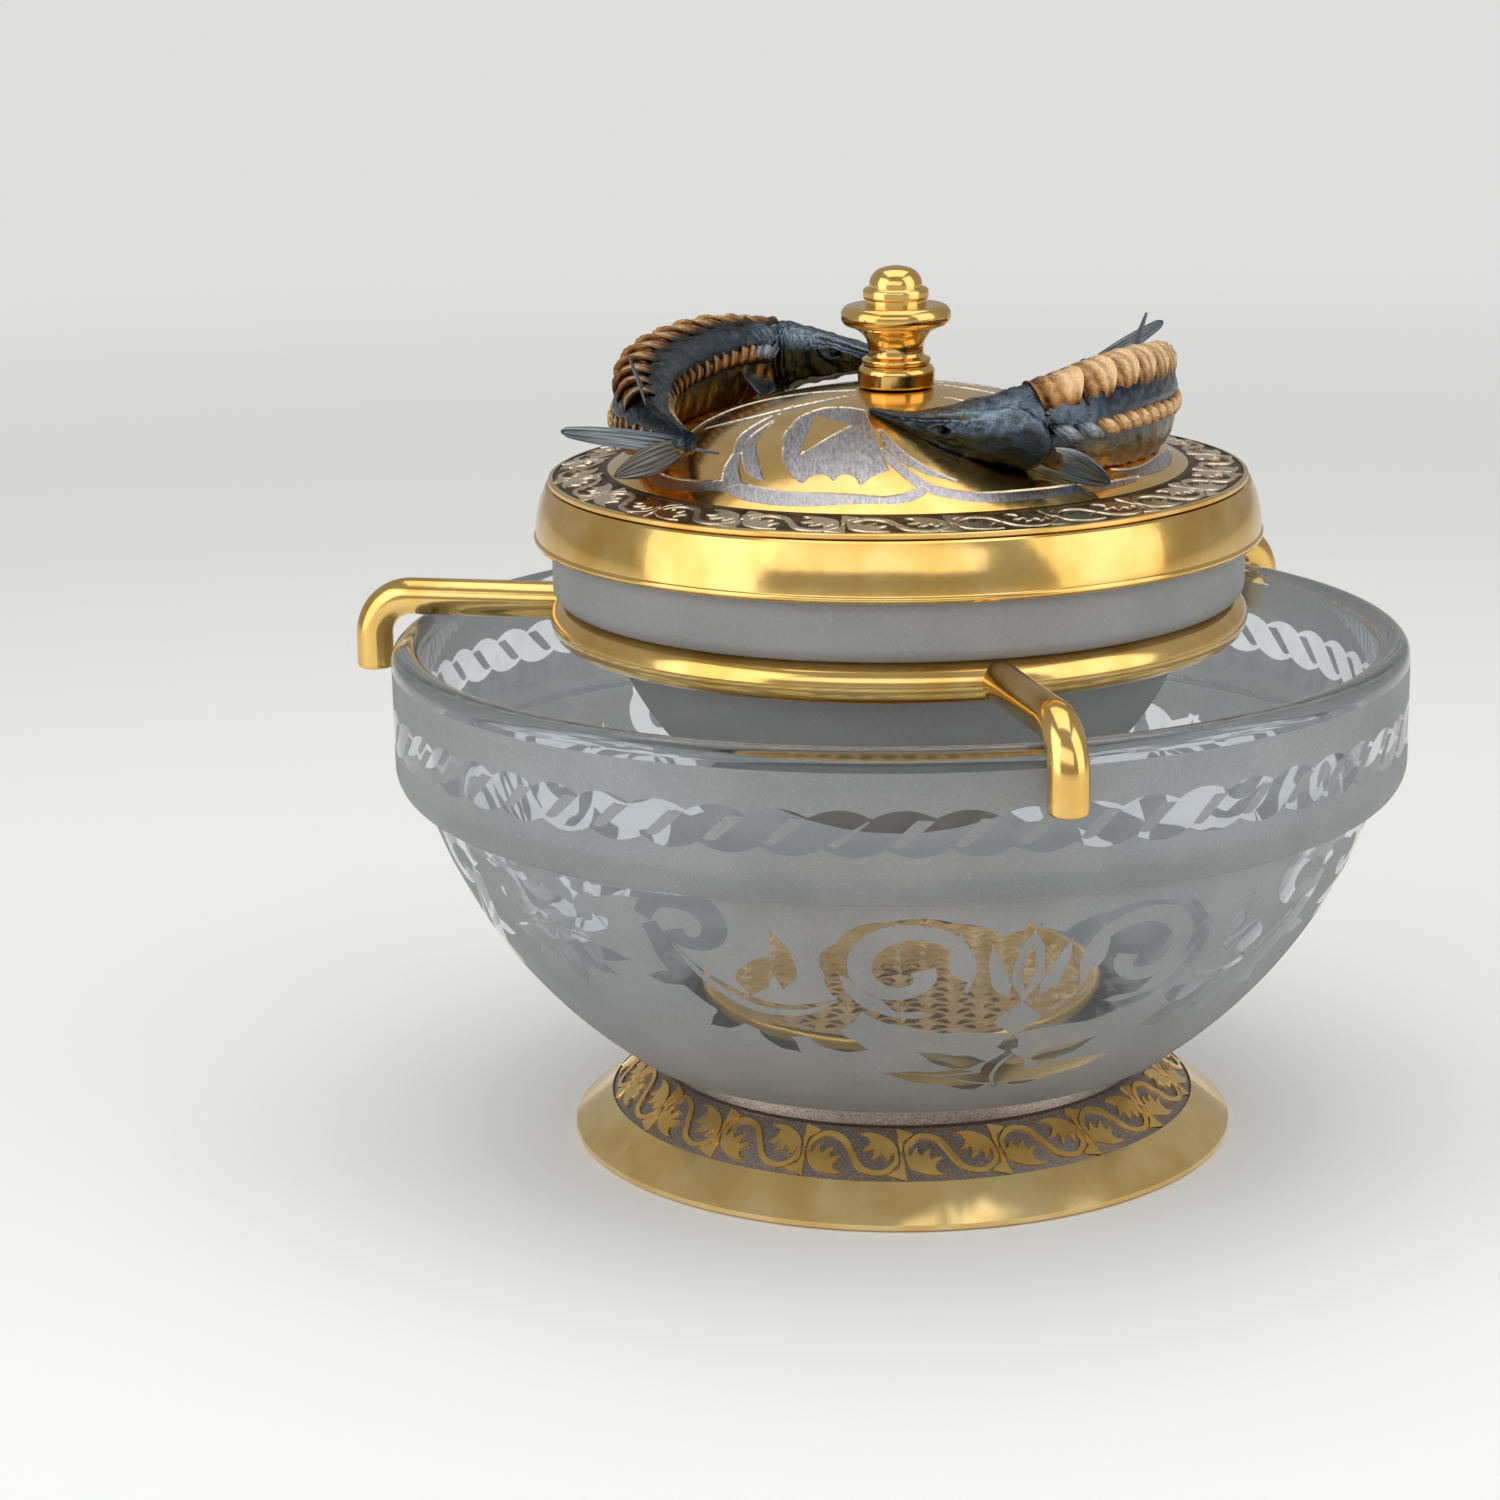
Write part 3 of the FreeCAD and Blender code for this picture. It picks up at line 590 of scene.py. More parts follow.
def finish_piece(piece, node_names):
    """Says what the piece is to the frame, and prints its size and how many of its edges are open."""
    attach(piece, "root")
    if node_names:
        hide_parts(*node_names)
    sides = [0] * len(piece.data.edges)
    for corner in piece.data.loops:
        sides[corner.edge_index] += 1
    triangles = sum(len(p.vertices) - 2 for p in piece.data.polygons)
    print(piece.name, triangles, "triangles,", sum(count != 2 for count in sides), "open edges")


class Turned:
    """A profile of (radius, height) points, turned about the axis and measured along its length."""

    def __init__(self, profile):
        self.profile = [Vector(p) for p in profile]
        self.lengths = [0.0]
        for a, b in zip(self.profile, self.profile[1:]):
            self.lengths.append(self.lengths[-1] + (b - a).length)
        self.length = self.lengths[-1]

    def at(self, distance):
        """Radius and height, and the profile's direction, at a distance along it."""
        distance = min(max(distance, 0.0), self.length)
        index = min(bisect_right(self.lengths, distance) - 1, len(self.lengths) - 2)
        start, end = self.profile[index], self.profile[index + 1]
        share = (distance - self.lengths[index]) / max(1e-9, self.lengths[index + 1] - self.lengths[index])
        return start + (end - start) * share, (end - start).normalized()

    def normal(self, turn, distance, reach=0.2):
        """Outward direction, averaged over a short reach of the profile."""
        way = self.at(distance + reach)[0] - self.at(distance - reach)[0]
        way.normalize()
        return Vector((way.y * math.cos(turn), way.y * math.sin(turn), -way.x))

    def find(self, height):
        """Distance at which the profile first reaches a height."""
        for index in range(1, len(self.profile)):
            before, point = self.profile[index - 1:index + 1]
            if point.y >= height:
                share = (height - before.y) / max(1e-9, point.y - before.y)
                return self.lengths[index - 1] + share * (point - before).length
        return self.length

    def point(self, turn, distance, lift=0.0):
        """Point in space at a turn in radians and a distance along the profile, lifted outwards."""
        place, way = self.at(distance)
        radius = place.x + way.y * lift
        height = place.y - way.x * lift
        return Vector((radius * math.cos(turn), radius * math.sin(turn), height))


def arc(centre, radius, start, end, count):
    """Points on a circle in the profile's plane, between two angles in degrees."""
    points = []
    for index in range(count + 1):
        angle = math.radians(start + (end - start) * index / count)
        points.append((centre[0] + radius * math.cos(angle), centre[1] + radius * math.sin(angle)))
    return points


def rounded(corners, count):
    """Line through (x, y, round) corners, where each corner is replaced by an arc."""
    line = []
    for index, corner in enumerate(corners):
        here = Vector(corner[:2])
        if len(corner) == 2:
            line.append(here)
            continue
        back = (Vector(corners[index - 1][:2]) - here).normalized()
        ahead = (Vector(corners[index + 1][:2]) - here).normalized()
        half = back.angle(ahead) / 2
        setback = corner[2] / math.tan(half)
        centre = here + (back + ahead).normalized() * corner[2] / math.sin(half)
        start = here + back * setback - centre
        end = here + ahead * setback - centre
        sweep = start.angle_signed(end)
        for step in range(count + 1):
            line.append(centre + Matrix.Rotation(-sweep * step / count, 2) @ start)
    return line


def turned_grid(turns, distances):
    """Rings at these distances along a profile. Returns (turn, distance) spots and faces."""
    spots = [(math.tau * k / turns, distance) for distance in distances for k in range(turns)]
    faces = []
    for here in range(turns, len(spots), turns):
        for k in range(turns):
            n = (k + 1) % turns
            faces.append((here - turns + k, here - turns + n, here + n, here + k))
    return spots, faces


def steps_between(start, end, step):
    """Even distances from start to end, both included."""
    count = max(1, round((end - start) / step))
    return [start + (end - start) * k / count for k in range(count + 1)]


print("helpers ready")

# %% [markdown]
# The bowl is blown into a mould: a ball-shaped belly under an upright collar, 5 mm thick. A vinyl resist
# is cut and stuck on, the outside is sandblasted, and the resist is peeled off, so the pattern stays
# clear. The wall is one turned outline. Its outside is cut along the pattern, the inside and the rim are
# polished, and the underside is sandblasted like the outside.

# %% Shape of the bowl
BOWL_RADIUS = 80.0
BELLY_RADIUS = 79.0
BOWL_WALL = 5.0
BASE_RADIUS = 46.8
BASE_Z = 16.5
BASE_BREAK = 0.6
HOLE_RADIUS = 5.0
COLLAR_RADIUS = 79.9
COLLAR_HEIGHT = 23.5
COLLAR_START = 0.9
COLLAR_ROUND = 4.6
RIM_ROUND = 2.4
CLEAR_RIM = 3.2
INNER_STEP = 1.5
INNER_STEP_HEIGHT = 2.5
INNER_STEP_ROUND = 3.0
BOWL_TURNS = 256
BELLY_Z = BASE_Z + BASE_BREAK + math.sqrt(BELLY_RADIUS ** 2 - BASE_RADIUS ** 2)
RIM_Z = BELLY_Z + 0.25
NOTCH_Z = RIM_Z - COLLAR_HEIGHT
FLOOR_Z = BASE_Z + BOWL_WALL


def ball(radius, start_z, end_z):
    """Part of a circle round the middle of the belly, between two heights."""
    start, end = [math.degrees(math.asin((z - BELLY_Z) / radius)) for z in (start_z, end_z)]
    return arc((0, BELLY_Z), radius, start, end, 60)


def bowl_outline():
    """Up the outside, over the rim, down the inside to the hole, and out to the edge of the base."""
    step_z = NOTCH_Z + INNER_STEP
    outer_ball = ball(BELLY_RADIUS, BASE_Z + BASE_BREAK, NOTCH_Z)
    inner_ball = ball(BELLY_RADIUS - BOWL_WALL, step_z, FLOOR_Z)
    collar = rounded([
        outer_ball[-1],
        (COLLAR_RADIUS, NOTCH_Z + COLLAR_START, COLLAR_ROUND),
        (BOWL_RADIUS, RIM_Z, RIM_ROUND),
        (BOWL_RADIUS - BOWL_WALL, RIM_Z, RIM_ROUND),
        (COLLAR_RADIUS - BOWL_WALL, step_z + INNER_STEP_HEIGHT, INNER_STEP_ROUND),
        inner_ball[0],
    ], 10)
    base = [(HOLE_RADIUS, FLOOR_Z), (HOLE_RADIUS, BASE_Z), (BASE_RADIUS - BASE_BREAK, BASE_Z)]
    return outer_ball + collar[1:-1] + inner_ball + base + [outer_ball[0]]


bowl = Turned(bowl_outline())
NOTCH = bowl.find(NOTCH_Z)
SHEET_TOP = bowl.find(RIM_Z - CLEAR_RIM)
print("belly", round(NOTCH, 2), "collar", round(SHEET_TOP - NOTCH, 2))

# %% [markdown]
# The band on the collar is a rope: 56 strands, each a clear bulging cell with a slanted frosted bar in
# it. The cells meet in cusps above and below, and the upper cusps are set off from the lower ones by
# about four fifths of a strand.

# %% Rope band
ROPE_STRANDS = 56
ROPE_TOP_Z = 71.3
ROPE_DEPTH = 4.4
ROPE_SLANT = -7.1
ROPE_BULGE = 1.2
ROPE_BAR = [(-6.5, -3.9, 0.45), (-3.9, -3.5, 0.0), (-0.2, -0.35, 0.0), (-2.6, -0.2, 0.1)]
ROPE_TURN = math.radians(-92.7)
AROUND = math.tau * BOWL_RADIUS


def rope_shapes():
    """Clear cells and frosted bars, as (shape, clear)."""
    pitch = AROUND / ROPE_STRANDS
    cell = bowed([
        (ROPE_SLANT, -ROPE_DEPTH, ROPE_BULGE),
        (ROPE_SLANT + pitch, -ROPE_DEPTH, 0),
        (pitch, 0, ROPE_BULGE),
        (0, 0, 0),
    ], 8)
    bar = bowed(ROPE_BAR, 4)
    top = bowl.find(ROPE_TOP_Z)
    shapes = []
    for strand in range(ROPE_STRANDS):
        across = (ROPE_TURN * BOWL_RADIUS % AROUND + pitch * strand) % AROUND
        shapes += [(moved(cell, across, top), True), (moved(bar, across, top), False)]
    return shapes


rope = rope_shapes()
print("rope shapes", len(rope))

# %% [markdown]
# The belly carries three wide cartouches of leaf scrolls with a lotus flower under each, and a hanging
# leaf palmette between them. Each half is drawn once, in millimetres from the middle line and up from the
# base, and mirrored. Big leaves are left clear, and the veins, curls and a lozenge are drawn over them as
# frosted shapes. So every shape comes with a word for whether it is clear, and the order counts.

# %% Scrolls and leaves of the belly
PATTERN_RADIUS = 65.0
CARTOUCHE_DEGREES = -75
PALMETTE_DEGREES = -15


def both_sides(shapes):
    """The shapes and their mirror images, kept in order."""
    return [(side, is_clear) for shape, is_clear in shapes for side in (shape, mirrored(shape))]


def cartouche():
    half = [
        (bowed([(-1, 24, 0), (8, 25.2, 0.8), (16, 27, 1.2), (23, 31.5, 1.6), (27, 38, 1.4), (25, 44, 1.2),
                (18.5, 47.6, 0.8), (10, 47.2, 0.6), (4, 44.5, 0), (-1, 46.5, 0)]), True),
        (ribbon([(22, 33), (28, 28.5), (35, 27.5), (42, 31), (47.5, 37), (50.5, 44.5)],
                [3.0, 7.0, 7.5, 6.5, 5.0, 2.6]), True),
        (ribbon(spiral((45.0, 44.6), (51.2, 45.6), 330, 0.32), [2.6, 4.4, 3.6, 2.4, 3.2]), True),
        (petal((30, 27), (21.5, 20.8), 5.2, 1.4), True),
        (petal((36, 27), (32.5, 19.4), 5.0, 1.2), True),
        (petal((41, 30), (46.5, 24.2), 4.6, -1.2), True),
        (petal((38, 32), (31.5, 41.0), 5.0, -1.6), True),
        (petal((33, 34), (33.5, 46.0), 3.4, 1.0), True),
        (petal((46, 36), (54.0, 33.5), 3.4, -0.8), True),
        (ribbon(spiral((16.5, 38.4), (8.2, 34.0), -395, 0.26, 14), [0.6, 2.4, 3.4, 3.0, 2.4, 3.4]), False),
        (petal((7.4, 35.5), (9.4, 46.0), 3.0, -1.2), False),
        (petal((17.5, 30.2), (25.4, 38.5), 2.8, -1.4), False),
        (petal((12.0, 29.6), (22.0, 30.8), 1.6, -0.6), False),
        (ribbon([(25.5, 32.5), (31, 29.5), (38, 30), (44, 35), (47.6, 41)],
                [0.3, 1.3, 1.6, 1.3, 0.3]), False),
        (petal((2.0, 32.0), (5.4, 43.6), 2.6, -0.5), False),
    ]
    middle = [
        (petal((0, 30.5), (0, 45.6), 4.4, 0.0, 0.6), False),
        (petal((0, 33.0), (0, 43.0), 1.7, 0.0, 0.6), True),
        (bowed([(0, 23.4, 0), (3.6, 27.4, 0), (0, 31.4, 0), (-3.6, 27.4, 0)]), False),
    ]
    return both_sides(half) + middle


def lotus():
    half = [
        (petal((2.5, 13.5), (20.5, 14.6), 4.8, -1.4), True),
        (petal((3.0, 17.0), (14.8, 20.6), 4.0, -1.2), True),
        (petal((0.8, 10.0), (11.8, 13.4), 4.6, -1.0), True),
    ]
    middle = [
        (petal((0, 8.0), (0, 20.5), 9.6, 0.0, 0.42), True),
        (ribbon([(0, 8.6), (-1.4, 12), (-0.8, 16), (1.2, 19)], [0.2, 0.8, 0.8, 0.2]), False),
        (petal((-0.6, 19.5), (0, 24.0), 3.4, 0.0, 0.4), True),
    ]
    veins = [
        (ribbon([(3.6, 14.0), (10, 13.4), (18, 14.4)], [0.7, 0.5, 0.1]), False),
        (ribbon([(0.2, 9.4), (4.6, 10.6), (10.4, 12.8)], [0.9, 0.5, 0.1]), False),
    ]
    return both_sides(half) + middle + both_sides(veins)


def palmette():
    half = [
        (ribbon([(22.5, 49.3), (14, 49.2), (9.5, 48.4)], [1.1, 1.4, 2.0]), True),
        (ribbon(spiral((7.6, 44.2), (10.8, 48.3), 300, 0.38), [1.6, 3.4, 3.2, 2.4, 2.6]), True),
        (petal((1.2, 40.0), (12.6, 36.2), 4.4, -1.4), True),
        (petal((1.0, 38.4), (8.8, 32.0), 4.2, -0.9), True),
        (petal((4.5, 47.5), (1.4, 39.5), 3.2, -0.8), True),
        (ribbon([(1.6, 39.4), (6.4, 38.6), (11.4, 36.8)], [0.7, 0.5, 0.1]), False),
    ]
    middle = [
        (petal((0, 40.5), (0, 27.0), 5.4, 0.0, 0.5), True),
        (petal((0, 40.0), (0, 48.6), 4.0, 0.0, 0.5), True),
        (ribbon([(0, 39.5), (0, 34), (0, 29.5)], [0.8, 0.6, 0.1]), False),
    ]
    return both_sides(half) + middle


def belly_shapes():
    """All shapes of the belly on the bowl's sheet, as (shape, clear)."""
    stretch = BOWL_RADIUS / PATTERN_RADIUS
    placed = []
    for degrees, drawn in ((CARTOUCHE_DEGREES, cartouche() + lotus()), (PALMETTE_DEGREES, palmette())):
        for third in range(3):
            across = math.radians(degrees + 120 * third) * BOWL_RADIUS % AROUND
            placed += [(moved(shape, across, 0, stretch), is_clear) for shape, is_clear in drawn]
    return placed


belly = belly_shapes()
print("belly shapes", len(belly))

# %% [markdown]
# The outside is cut flat as one sheet, rolled up, and joined to the turned inside. The rows of the sheet
# are given as from, to and step, and are close together where the notch is and where the collar bends.

# %% Glass of the bowl
SAME_ROW = 0.05
BOWL_ROWS = [
    (0.0, NOTCH - 0.5, 1.7),
    (NOTCH - 0.15, NOTCH + 0.15, 0.15),
    (NOTCH + 0.6, NOTCH + 8.6, 0.8),
    (NOTCH + 10.2, SHEET_TOP, 1.7),
]


def make_bowl():
    drawn = rope + belly
    rows = [row for span in BOWL_ROWS for row in steps_between(*span)]
    flat, faces, cover = cut_sheet(AROUND, BOWL_TURNS, rows, [shape for shape, is_clear in drawn])
    marks = [1 if index >= 0 and drawn[index][1] else 0 for index in cover]
    spots = [(p.x / BOWL_RADIUS, p.y) for p in flat]
    rest = [SHEET_TOP] + [d for d in bowl.lengths if d > SHEET_TOP + SAME_ROW]
    more_spots, more_faces = turned_grid(BOWL_TURNS, rest)
    more_faces = shifted(more_faces, len(spots))
    spots += more_spots
    points = [bowl.point(*spot) for spot in spots]
    normals = [bowl.normal(*spot) for spot in spots]
    for face in more_faces:
        under = max(points[i].z for i in face) < FLOOR_Z - 1
        marks.append(0 if under else 1)
    faces, marks = weld(points, faces + more_faces, marks)
    piece = make_mesh("bowl_glass", points, faces, [frosted, clear], marks, normals)
    finish_piece(piece, ["outer_bowl"])


make_bowl()

# %% [markdown]
# The lid's ring and the foot's band carry the same running scroll: an S-shaped stem that curls round a
# lobed leaf at each end, with a trumpet-shaped bud above and below where two scrolls meet. Etching leaves
# it standing on a sunk ground. One scroll is drawn in a cell of its own size, raised and bent to the cone
# it lies on, and Geometry Nodes set copies of it round the axis.

# %% One scroll
SCROLL_WALL = 0.12
SCROLL_CELL = (15.2, 9.2)
SCROLL_LEAF = [
    (-7.0, -0.2, 0.5), (-5.2, -3.2, 0.5), (-0.9, -3.8, -0.5), (-2.7, -2.3, -0.2), (-1.5, -0.6, 0.2),
    (-3.2, -1.1, -0.3), (-2.9, 1.0, 0.25), (-4.5, -0.3, -0.4), (-5.0, 1.3, 0.2), (-5.9, 0.3, -0.3),
]
SOCKET_KINDS = {
    "Geometry": "NodeSocketGeometry",
    "Motif": "NodeSocketObject",
    "Count": "NodeSocketInt",
    "Finish": "NodeSocketMaterial",
}


def scroll_shapes(width, height):
    """The scroll in a cell of this width and height, centred on the origin."""
    half = [
        ribbon([(-6.7, -0.6), (-6.7, 1.6), (-4.6, 3.5), (-1.7, 2.7), (0, 0)], [0.5, 0.8, 0.9, 0.95, 0.95]),
        bowed(SCROLL_LEAF, 4),
        ribbon([(-7.6, 0.4), (-7.75, 2.4), (-7.0, 4.5)], [0.4, 0.8, 2.9]),
        ribbon([(-7.6, -0.4), (-7.45, -2.4), (-8.2, -4.5)], [0.4, 0.8, 2.9]),
    ]
    shapes = half + [[-Vector(p) for p in shape] for shape in half[:2]]
    return [[Vector((p.x * width / SCROLL_CELL[0], p.y * height / SCROLL_CELL[1])) for p in shape]
            for shape in shapes]


def new_tree(name, *inputs):
    """Geometry node tree with these inputs. Returns the tree and the inputs' outputs."""
    tree = bpy.data.node_groups.new(name, "GeometryNodeTree")
    for title in inputs:
        tree.interface.new_socket(title, in_out="INPUT", socket_type=SOCKET_KINDS[title])
    tree.interface.new_socket("Geometry", in_out="OUTPUT", socket_type=SOCKET_KINDS["Geometry"])
    return tree, add(tree, "NodeGroupInput").outputs


def set_copies(tree, inputs, placing):
    """Sets copies of the motif, makes them real and gives them their material."""
    motif = add(tree, "GeometryNodeObjectInfo", {"Object": inputs["Motif"]}).outputs["Geometry"]
    copies = add(tree, "GeometryNodeInstanceOnPoints", {"Instance": motif, **placing}).outputs[0]
    real = add(tree, "GeometryNodeRealizeInstances", {"Geometry": copies}).outputs[0]
    finish = {"Geometry": real, "Material": inputs["Finish"]}
    add(tree, "NodeGroupOutput", {"Geometry": add(tree, "GeometryNodeSetMaterial", finish).outputs[0]})


def ring_tree():
    """Sets an object round the Z axis. Inputs: the object, how many, and the material."""
    tree, inputs = new_tree("set_round_axis", "Motif", "Count", "Finish")
    step = calculate(tree, "DIVIDE", math.tau, inputs["Count"])
    turn = calculate(tree, "MULTIPLY", add(tree, "GeometryNodeInputIndex").outputs[0], step)
    axis = add(tree, "ShaderNodeCombineXYZ", {"Z": turn}).outputs[0]
    points = add(tree, "GeometryNodePoints", {"Count": inputs["Count"]}).outputs[0]
    set_copies(tree, inputs, {"Points": points, "Rotation": axis})
    return tree


def grow(name, tree, values, carrier=None):
    """Evaluates a node tree on a carrier mesh with these inputs. Returns a plain mesh object."""
    mesh = carrier or bpy.data.meshes.new(name)
    piece = bpy.data.objects.new(name, mesh)
    bpy.context.scene.collection.objects.link(piece)
    modifier = piece.modifiers.new("grow", "NODES")
    modifier.node_group = tree
    for item in tree.interface.items_tree:
        if item.in_out == "INPUT" and item.name in values:
            modifier[item.identifier] = values[item.name]
    graph = bpy.context.evaluated_depsgraph_get()
    result = bpy.data.meshes.new_from_object(piece.evaluated_get(graph), depsgraph=graph)
    piece.modifiers.remove(modifier)
    used = {face.material_index for face in result.polygons}
    for index in reversed(range(len(result.materials))):
        if index not in used:
            result.materials.pop(index=index)
    piece.data = result
    result.name = name
    return piece


def scroll_band(name, turned, margins, count, lifts, finish):
    """Band of scrolls on a turned outline, with margins at its two ends. lifts: how far the foot and the
    top of the relief stand over the outline."""
    low, high = margins[0], turned.length - margins[1]
    middle = (low + high) / 2
    radius = turned.at(middle)[0].x
    shapes = scroll_shapes(math.tau * radius / count, abs(high - low))

    def place(flat, share):
        return turned.point(flat.x / radius, middle + flat.y, lifts[0] + (lifts[1] - lifts[0]) * share)

    points, faces = cut_relief(shapes, SCROLL_WALL, place)
    motif = make_mesh(name + "_motif", points, faces, [finish])
    crease(motif, 35)
    piece = grow(name, set_round_axis, {"Motif": motif, "Count": count, "Finish": finish})
    bpy.data.objects.remove(motif)
    finish_piece(piece, None)


set_round_axis = ring_tree()
print("shapes of a scroll", len(scroll_shapes(*SCROLL_CELL)))

# %% [markdown]
# The foot is a turned cone, and its band lies between two radii of it. Eighteen scrolls go round it, and
# their tops are flush with the metal that was not bitten away.

# %% Scrolls of the foot
FOOT_BAND_OUT = (47.0, 5.75)
FOOT_BAND_IN = (40.0, 11.75)
FOOT_MARGINS = (0.5, 0.3)
FOOT_SCROLLS = 18
FOOT_RELIEF = (-0.33, -0.02)
foot_slope = Turned([FOOT_BAND_OUT, FOOT_BAND_IN])
scroll_band("foot_scrolls", foot_slope, FOOT_MARGINS, FOOT_SCROLLS, FOOT_RELIEF, gold_cast)

# %% [markdown]
# The lid plate is spun from brass and gilded. Its ring is etched down 0.25 mm between two thin borders.
# The dome is polished like a mirror, and bands of swirling leaves are scraped into it and silvered, each
# with a narrow bevelled edge that catches the light. The drawing is made flat, as seen from above, in
# millimetres along the dome, and repeated half a turn round.

# %% Shape of the lid plate
PLATE_RADIUS = 54.6
PLATE_EDGE_Z = 105.6
PLATE_TOP_Z = 106.5
PLATE_THICKNESS = 0.9
PLATE_BREAK = 0.2
PLATE_TOP_BREAK = 0.15
DOME_RADIUS = 45.3
DOME_EDGE_Z = 107.7
DOME_SPHERE = 91.5
DOME_CENTRE_Z = 28.2
LID_HOLE = 2.25
RING_OUTSIDE = 53.9
RING_INSIDE = 46.0
RING_WALL = 0.2
RING_SINK = 0.25
ENGRAVE_DEPTH = 0.16
ENGRAVE_EDGE = 0.28
KNOB_BASE = 5.6
LID_TURNS = 256
LID_ROW_STEP = 1.1
LID_EDGE_STEP = 1.2
ROW_SLACK = 0.01


def on_ring(radius, sink=0.0):
    """Point of the ring's surface, or of the ground sunk into it."""
    slope = (DOME_EDGE_Z - PLATE_TOP_Z) / (PLATE_RADIUS - DOME_RADIUS)
    return radius, PLATE_TOP_Z + (PLATE_RADIUS - radius) * slope - sink


def lid_outline():
    """Up the edge of the plate, over ring and dome to the hole, and back under the dome."""
    edge, hole = [math.degrees(math.acos(radius / DOME_SPHERE)) for radius in (DOME_RADIUS, LID_HOLE)]
    dome = arc((0, DOME_CENTRE_Z), DOME_SPHERE, edge, hole, 70)
    below = arc((0, DOME_CENTRE_Z), DOME_SPHERE - PLATE_THICKNESS, hole, edge, 50)
    ring = [
        (PLATE_RADIUS - PLATE_BREAK, PLATE_EDGE_Z),
        (PLATE_RADIUS, PLATE_EDGE_Z + PLATE_BREAK),
        (PLATE_RADIUS, PLATE_TOP_Z - PLATE_TOP_BREAK),
        (PLATE_RADIUS - PLATE_TOP_BREAK, PLATE_TOP_Z),
        on_ring(RING_OUTSIDE),
        on_ring(RING_OUTSIDE - RING_WALL, RING_SINK),
        on_ring(RING_INSIDE + RING_WALL, RING_SINK),
        on_ring(RING_INSIDE),
    ]
    return ring + dome + below + [ring[0]]


lid = Turned(lid_outline())
# The outline's fifth point is the outer edge of the ring, and its ninth the foot of the dome.
RING_START, RING_END = lid.lengths[4], lid.lengths[8]
HOLE_EDGE_Z = DOME_CENTRE_Z + DOME_SPHERE * math.cos(LID_HOLE / DOME_SPHERE)
POLE = lid.find(HOLE_EDGE_Z - 1e-4) + LID_HOLE
LID_AROUND = math.tau * PLATE_RADIUS
print("lid outline", round(lid.length, 1), "to the pole", round(POLE, 1))

# %% [markdown]
# The silvered bands of the dome are strokes with their widths, and one scalloped leaf with a window in it.
# Each is laid on the lid's sheet by its turn round the axis and its distance from the pole. The ground of a
# band is sunk by 0.16 mm, and its bevel slopes down to it.

# %% Engraving of the dome
SCALLOPS = [
    (-14.3, -37.7, -0.5), (-12.0, -35.9, -0.6), (-9.6, -38.2, -0.6), (-7.4, -36.8, -0.6),
    (-5.6, -40.0, -0.5), (-1.4, -36.5, -0.3),
]
SCALLOPED_LEAF = [
    (-4.8, -15.5, 0.6), (-11.0, -12.1, 1.2), (-15.9, -18.2, 0.7), (-17.1, -25.4, 0.5),
    (-16.4, -33.6, 0.2), *SCALLOPS, (-3.3, -24.8, -0.3),
]
LEAF_WINDOW = [(-12.5, -15.3), (-14.9, -29.6), (-6.7, -21.4)]
# Strokes of one half of the dome, with the front at -y: the points of the line, and the widths along it
STROKES = [
    ([(-40.8, -14.7), (-37.1, -24.1), (-32.1, -30.1), (-26.4, -33.5), (-21.7, -38.2), (-14, -42),
      (0.4, -44.4)], [1.0, 2.2, 2.4, 2.4, 3.2, 3.0, 1.2]),
    ([(-24.5, -24), (-25.5, -29), (-25.4, -34)], [1.4, 2.2, 2.8]),
    ([(-24.5, -24), (-23, -17), (-15.7, -7.9)], [1.2, 1.6, 0.4]),
    ([(-18.9, -14), (-22.5, -21.5), (-22.1, -30.5), (-20.5, -34.9)], [0.3, 1.9, 2.0, 0.3]),
    ([(-36.5, -15.4), (-32.6, -8.3), (-28.8, -1.5), (-22.4, 2.1), (-6.4, -2.6)], [0.4, 1.3, 1.9, 1.9, 0.8]),
    ([(-30.1, -7.8), (-22, -10.2), (-12.2, -8.6), (-6.2, -5.9)], [0.4, 1.8, 1.6, 0.6]),
    ([(-19.8, 12), (-12, 10.5), (-6.9, 7.7)], [0.4, 1.5, 0.6]),
    ([(-2.5, -23.7), (-0.1, -31.1), (4.4, -36.4), (8.9, -38.8)], [0.4, 1.6, 1.4, 0.3]),
    ([(-2.5, -30.1), (-0.1, -35), (3.6, -40), (7.6, -42), (13.8, -42), (22.1, -38.5), (28.1, -34.3),
      (33.4, -30), (38, -24)], [0.4, 1.3, 1.7, 1.9, 2.1, 2.1, 1.8, 1.4, 0.5]),
    ([(-2.6, -44.2), (1.5, -43.4), (4.4, -41.0)], [1.5, 1.8, 1.6]),
    ([(33.4, -25.3), (37.9, -21.8), (41.9, -12.9), (44.4, 1)], [0.5, 1.9, 2.2, 0.5]),
    ([(5.2, -27.9), (9.7, -31.9)], [1.1, 1.5]),
]
MIRROR, BEVEL, SILVERED, BITTEN = range(4)


def on_dome(shape):
    """Flat shape on the lid's sheet: turn times plate radius, and distance along the outline."""
    shape = counterclockwise(shape)
    placed = []
    turn = None
    for a, b in zip(shape, shape[1:] + shape[:1]):
        count = max(1, math.ceil((b - a).length / LID_EDGE_STEP))
        for step in range(count):
            point = a + (b - a) * step / count
            here = math.atan2(point.y, point.x)
            if turn is not None:
                here += math.tau * round((turn - here) / math.tau)
            turn = here
            placed.append(Vector((turn * PLATE_RADIUS, POLE - point.length)))
    start = math.floor(min(p.x for p in placed) / LID_AROUND) * LID_AROUND
    return [Vector((p.x - start, p.y)) for p in placed]


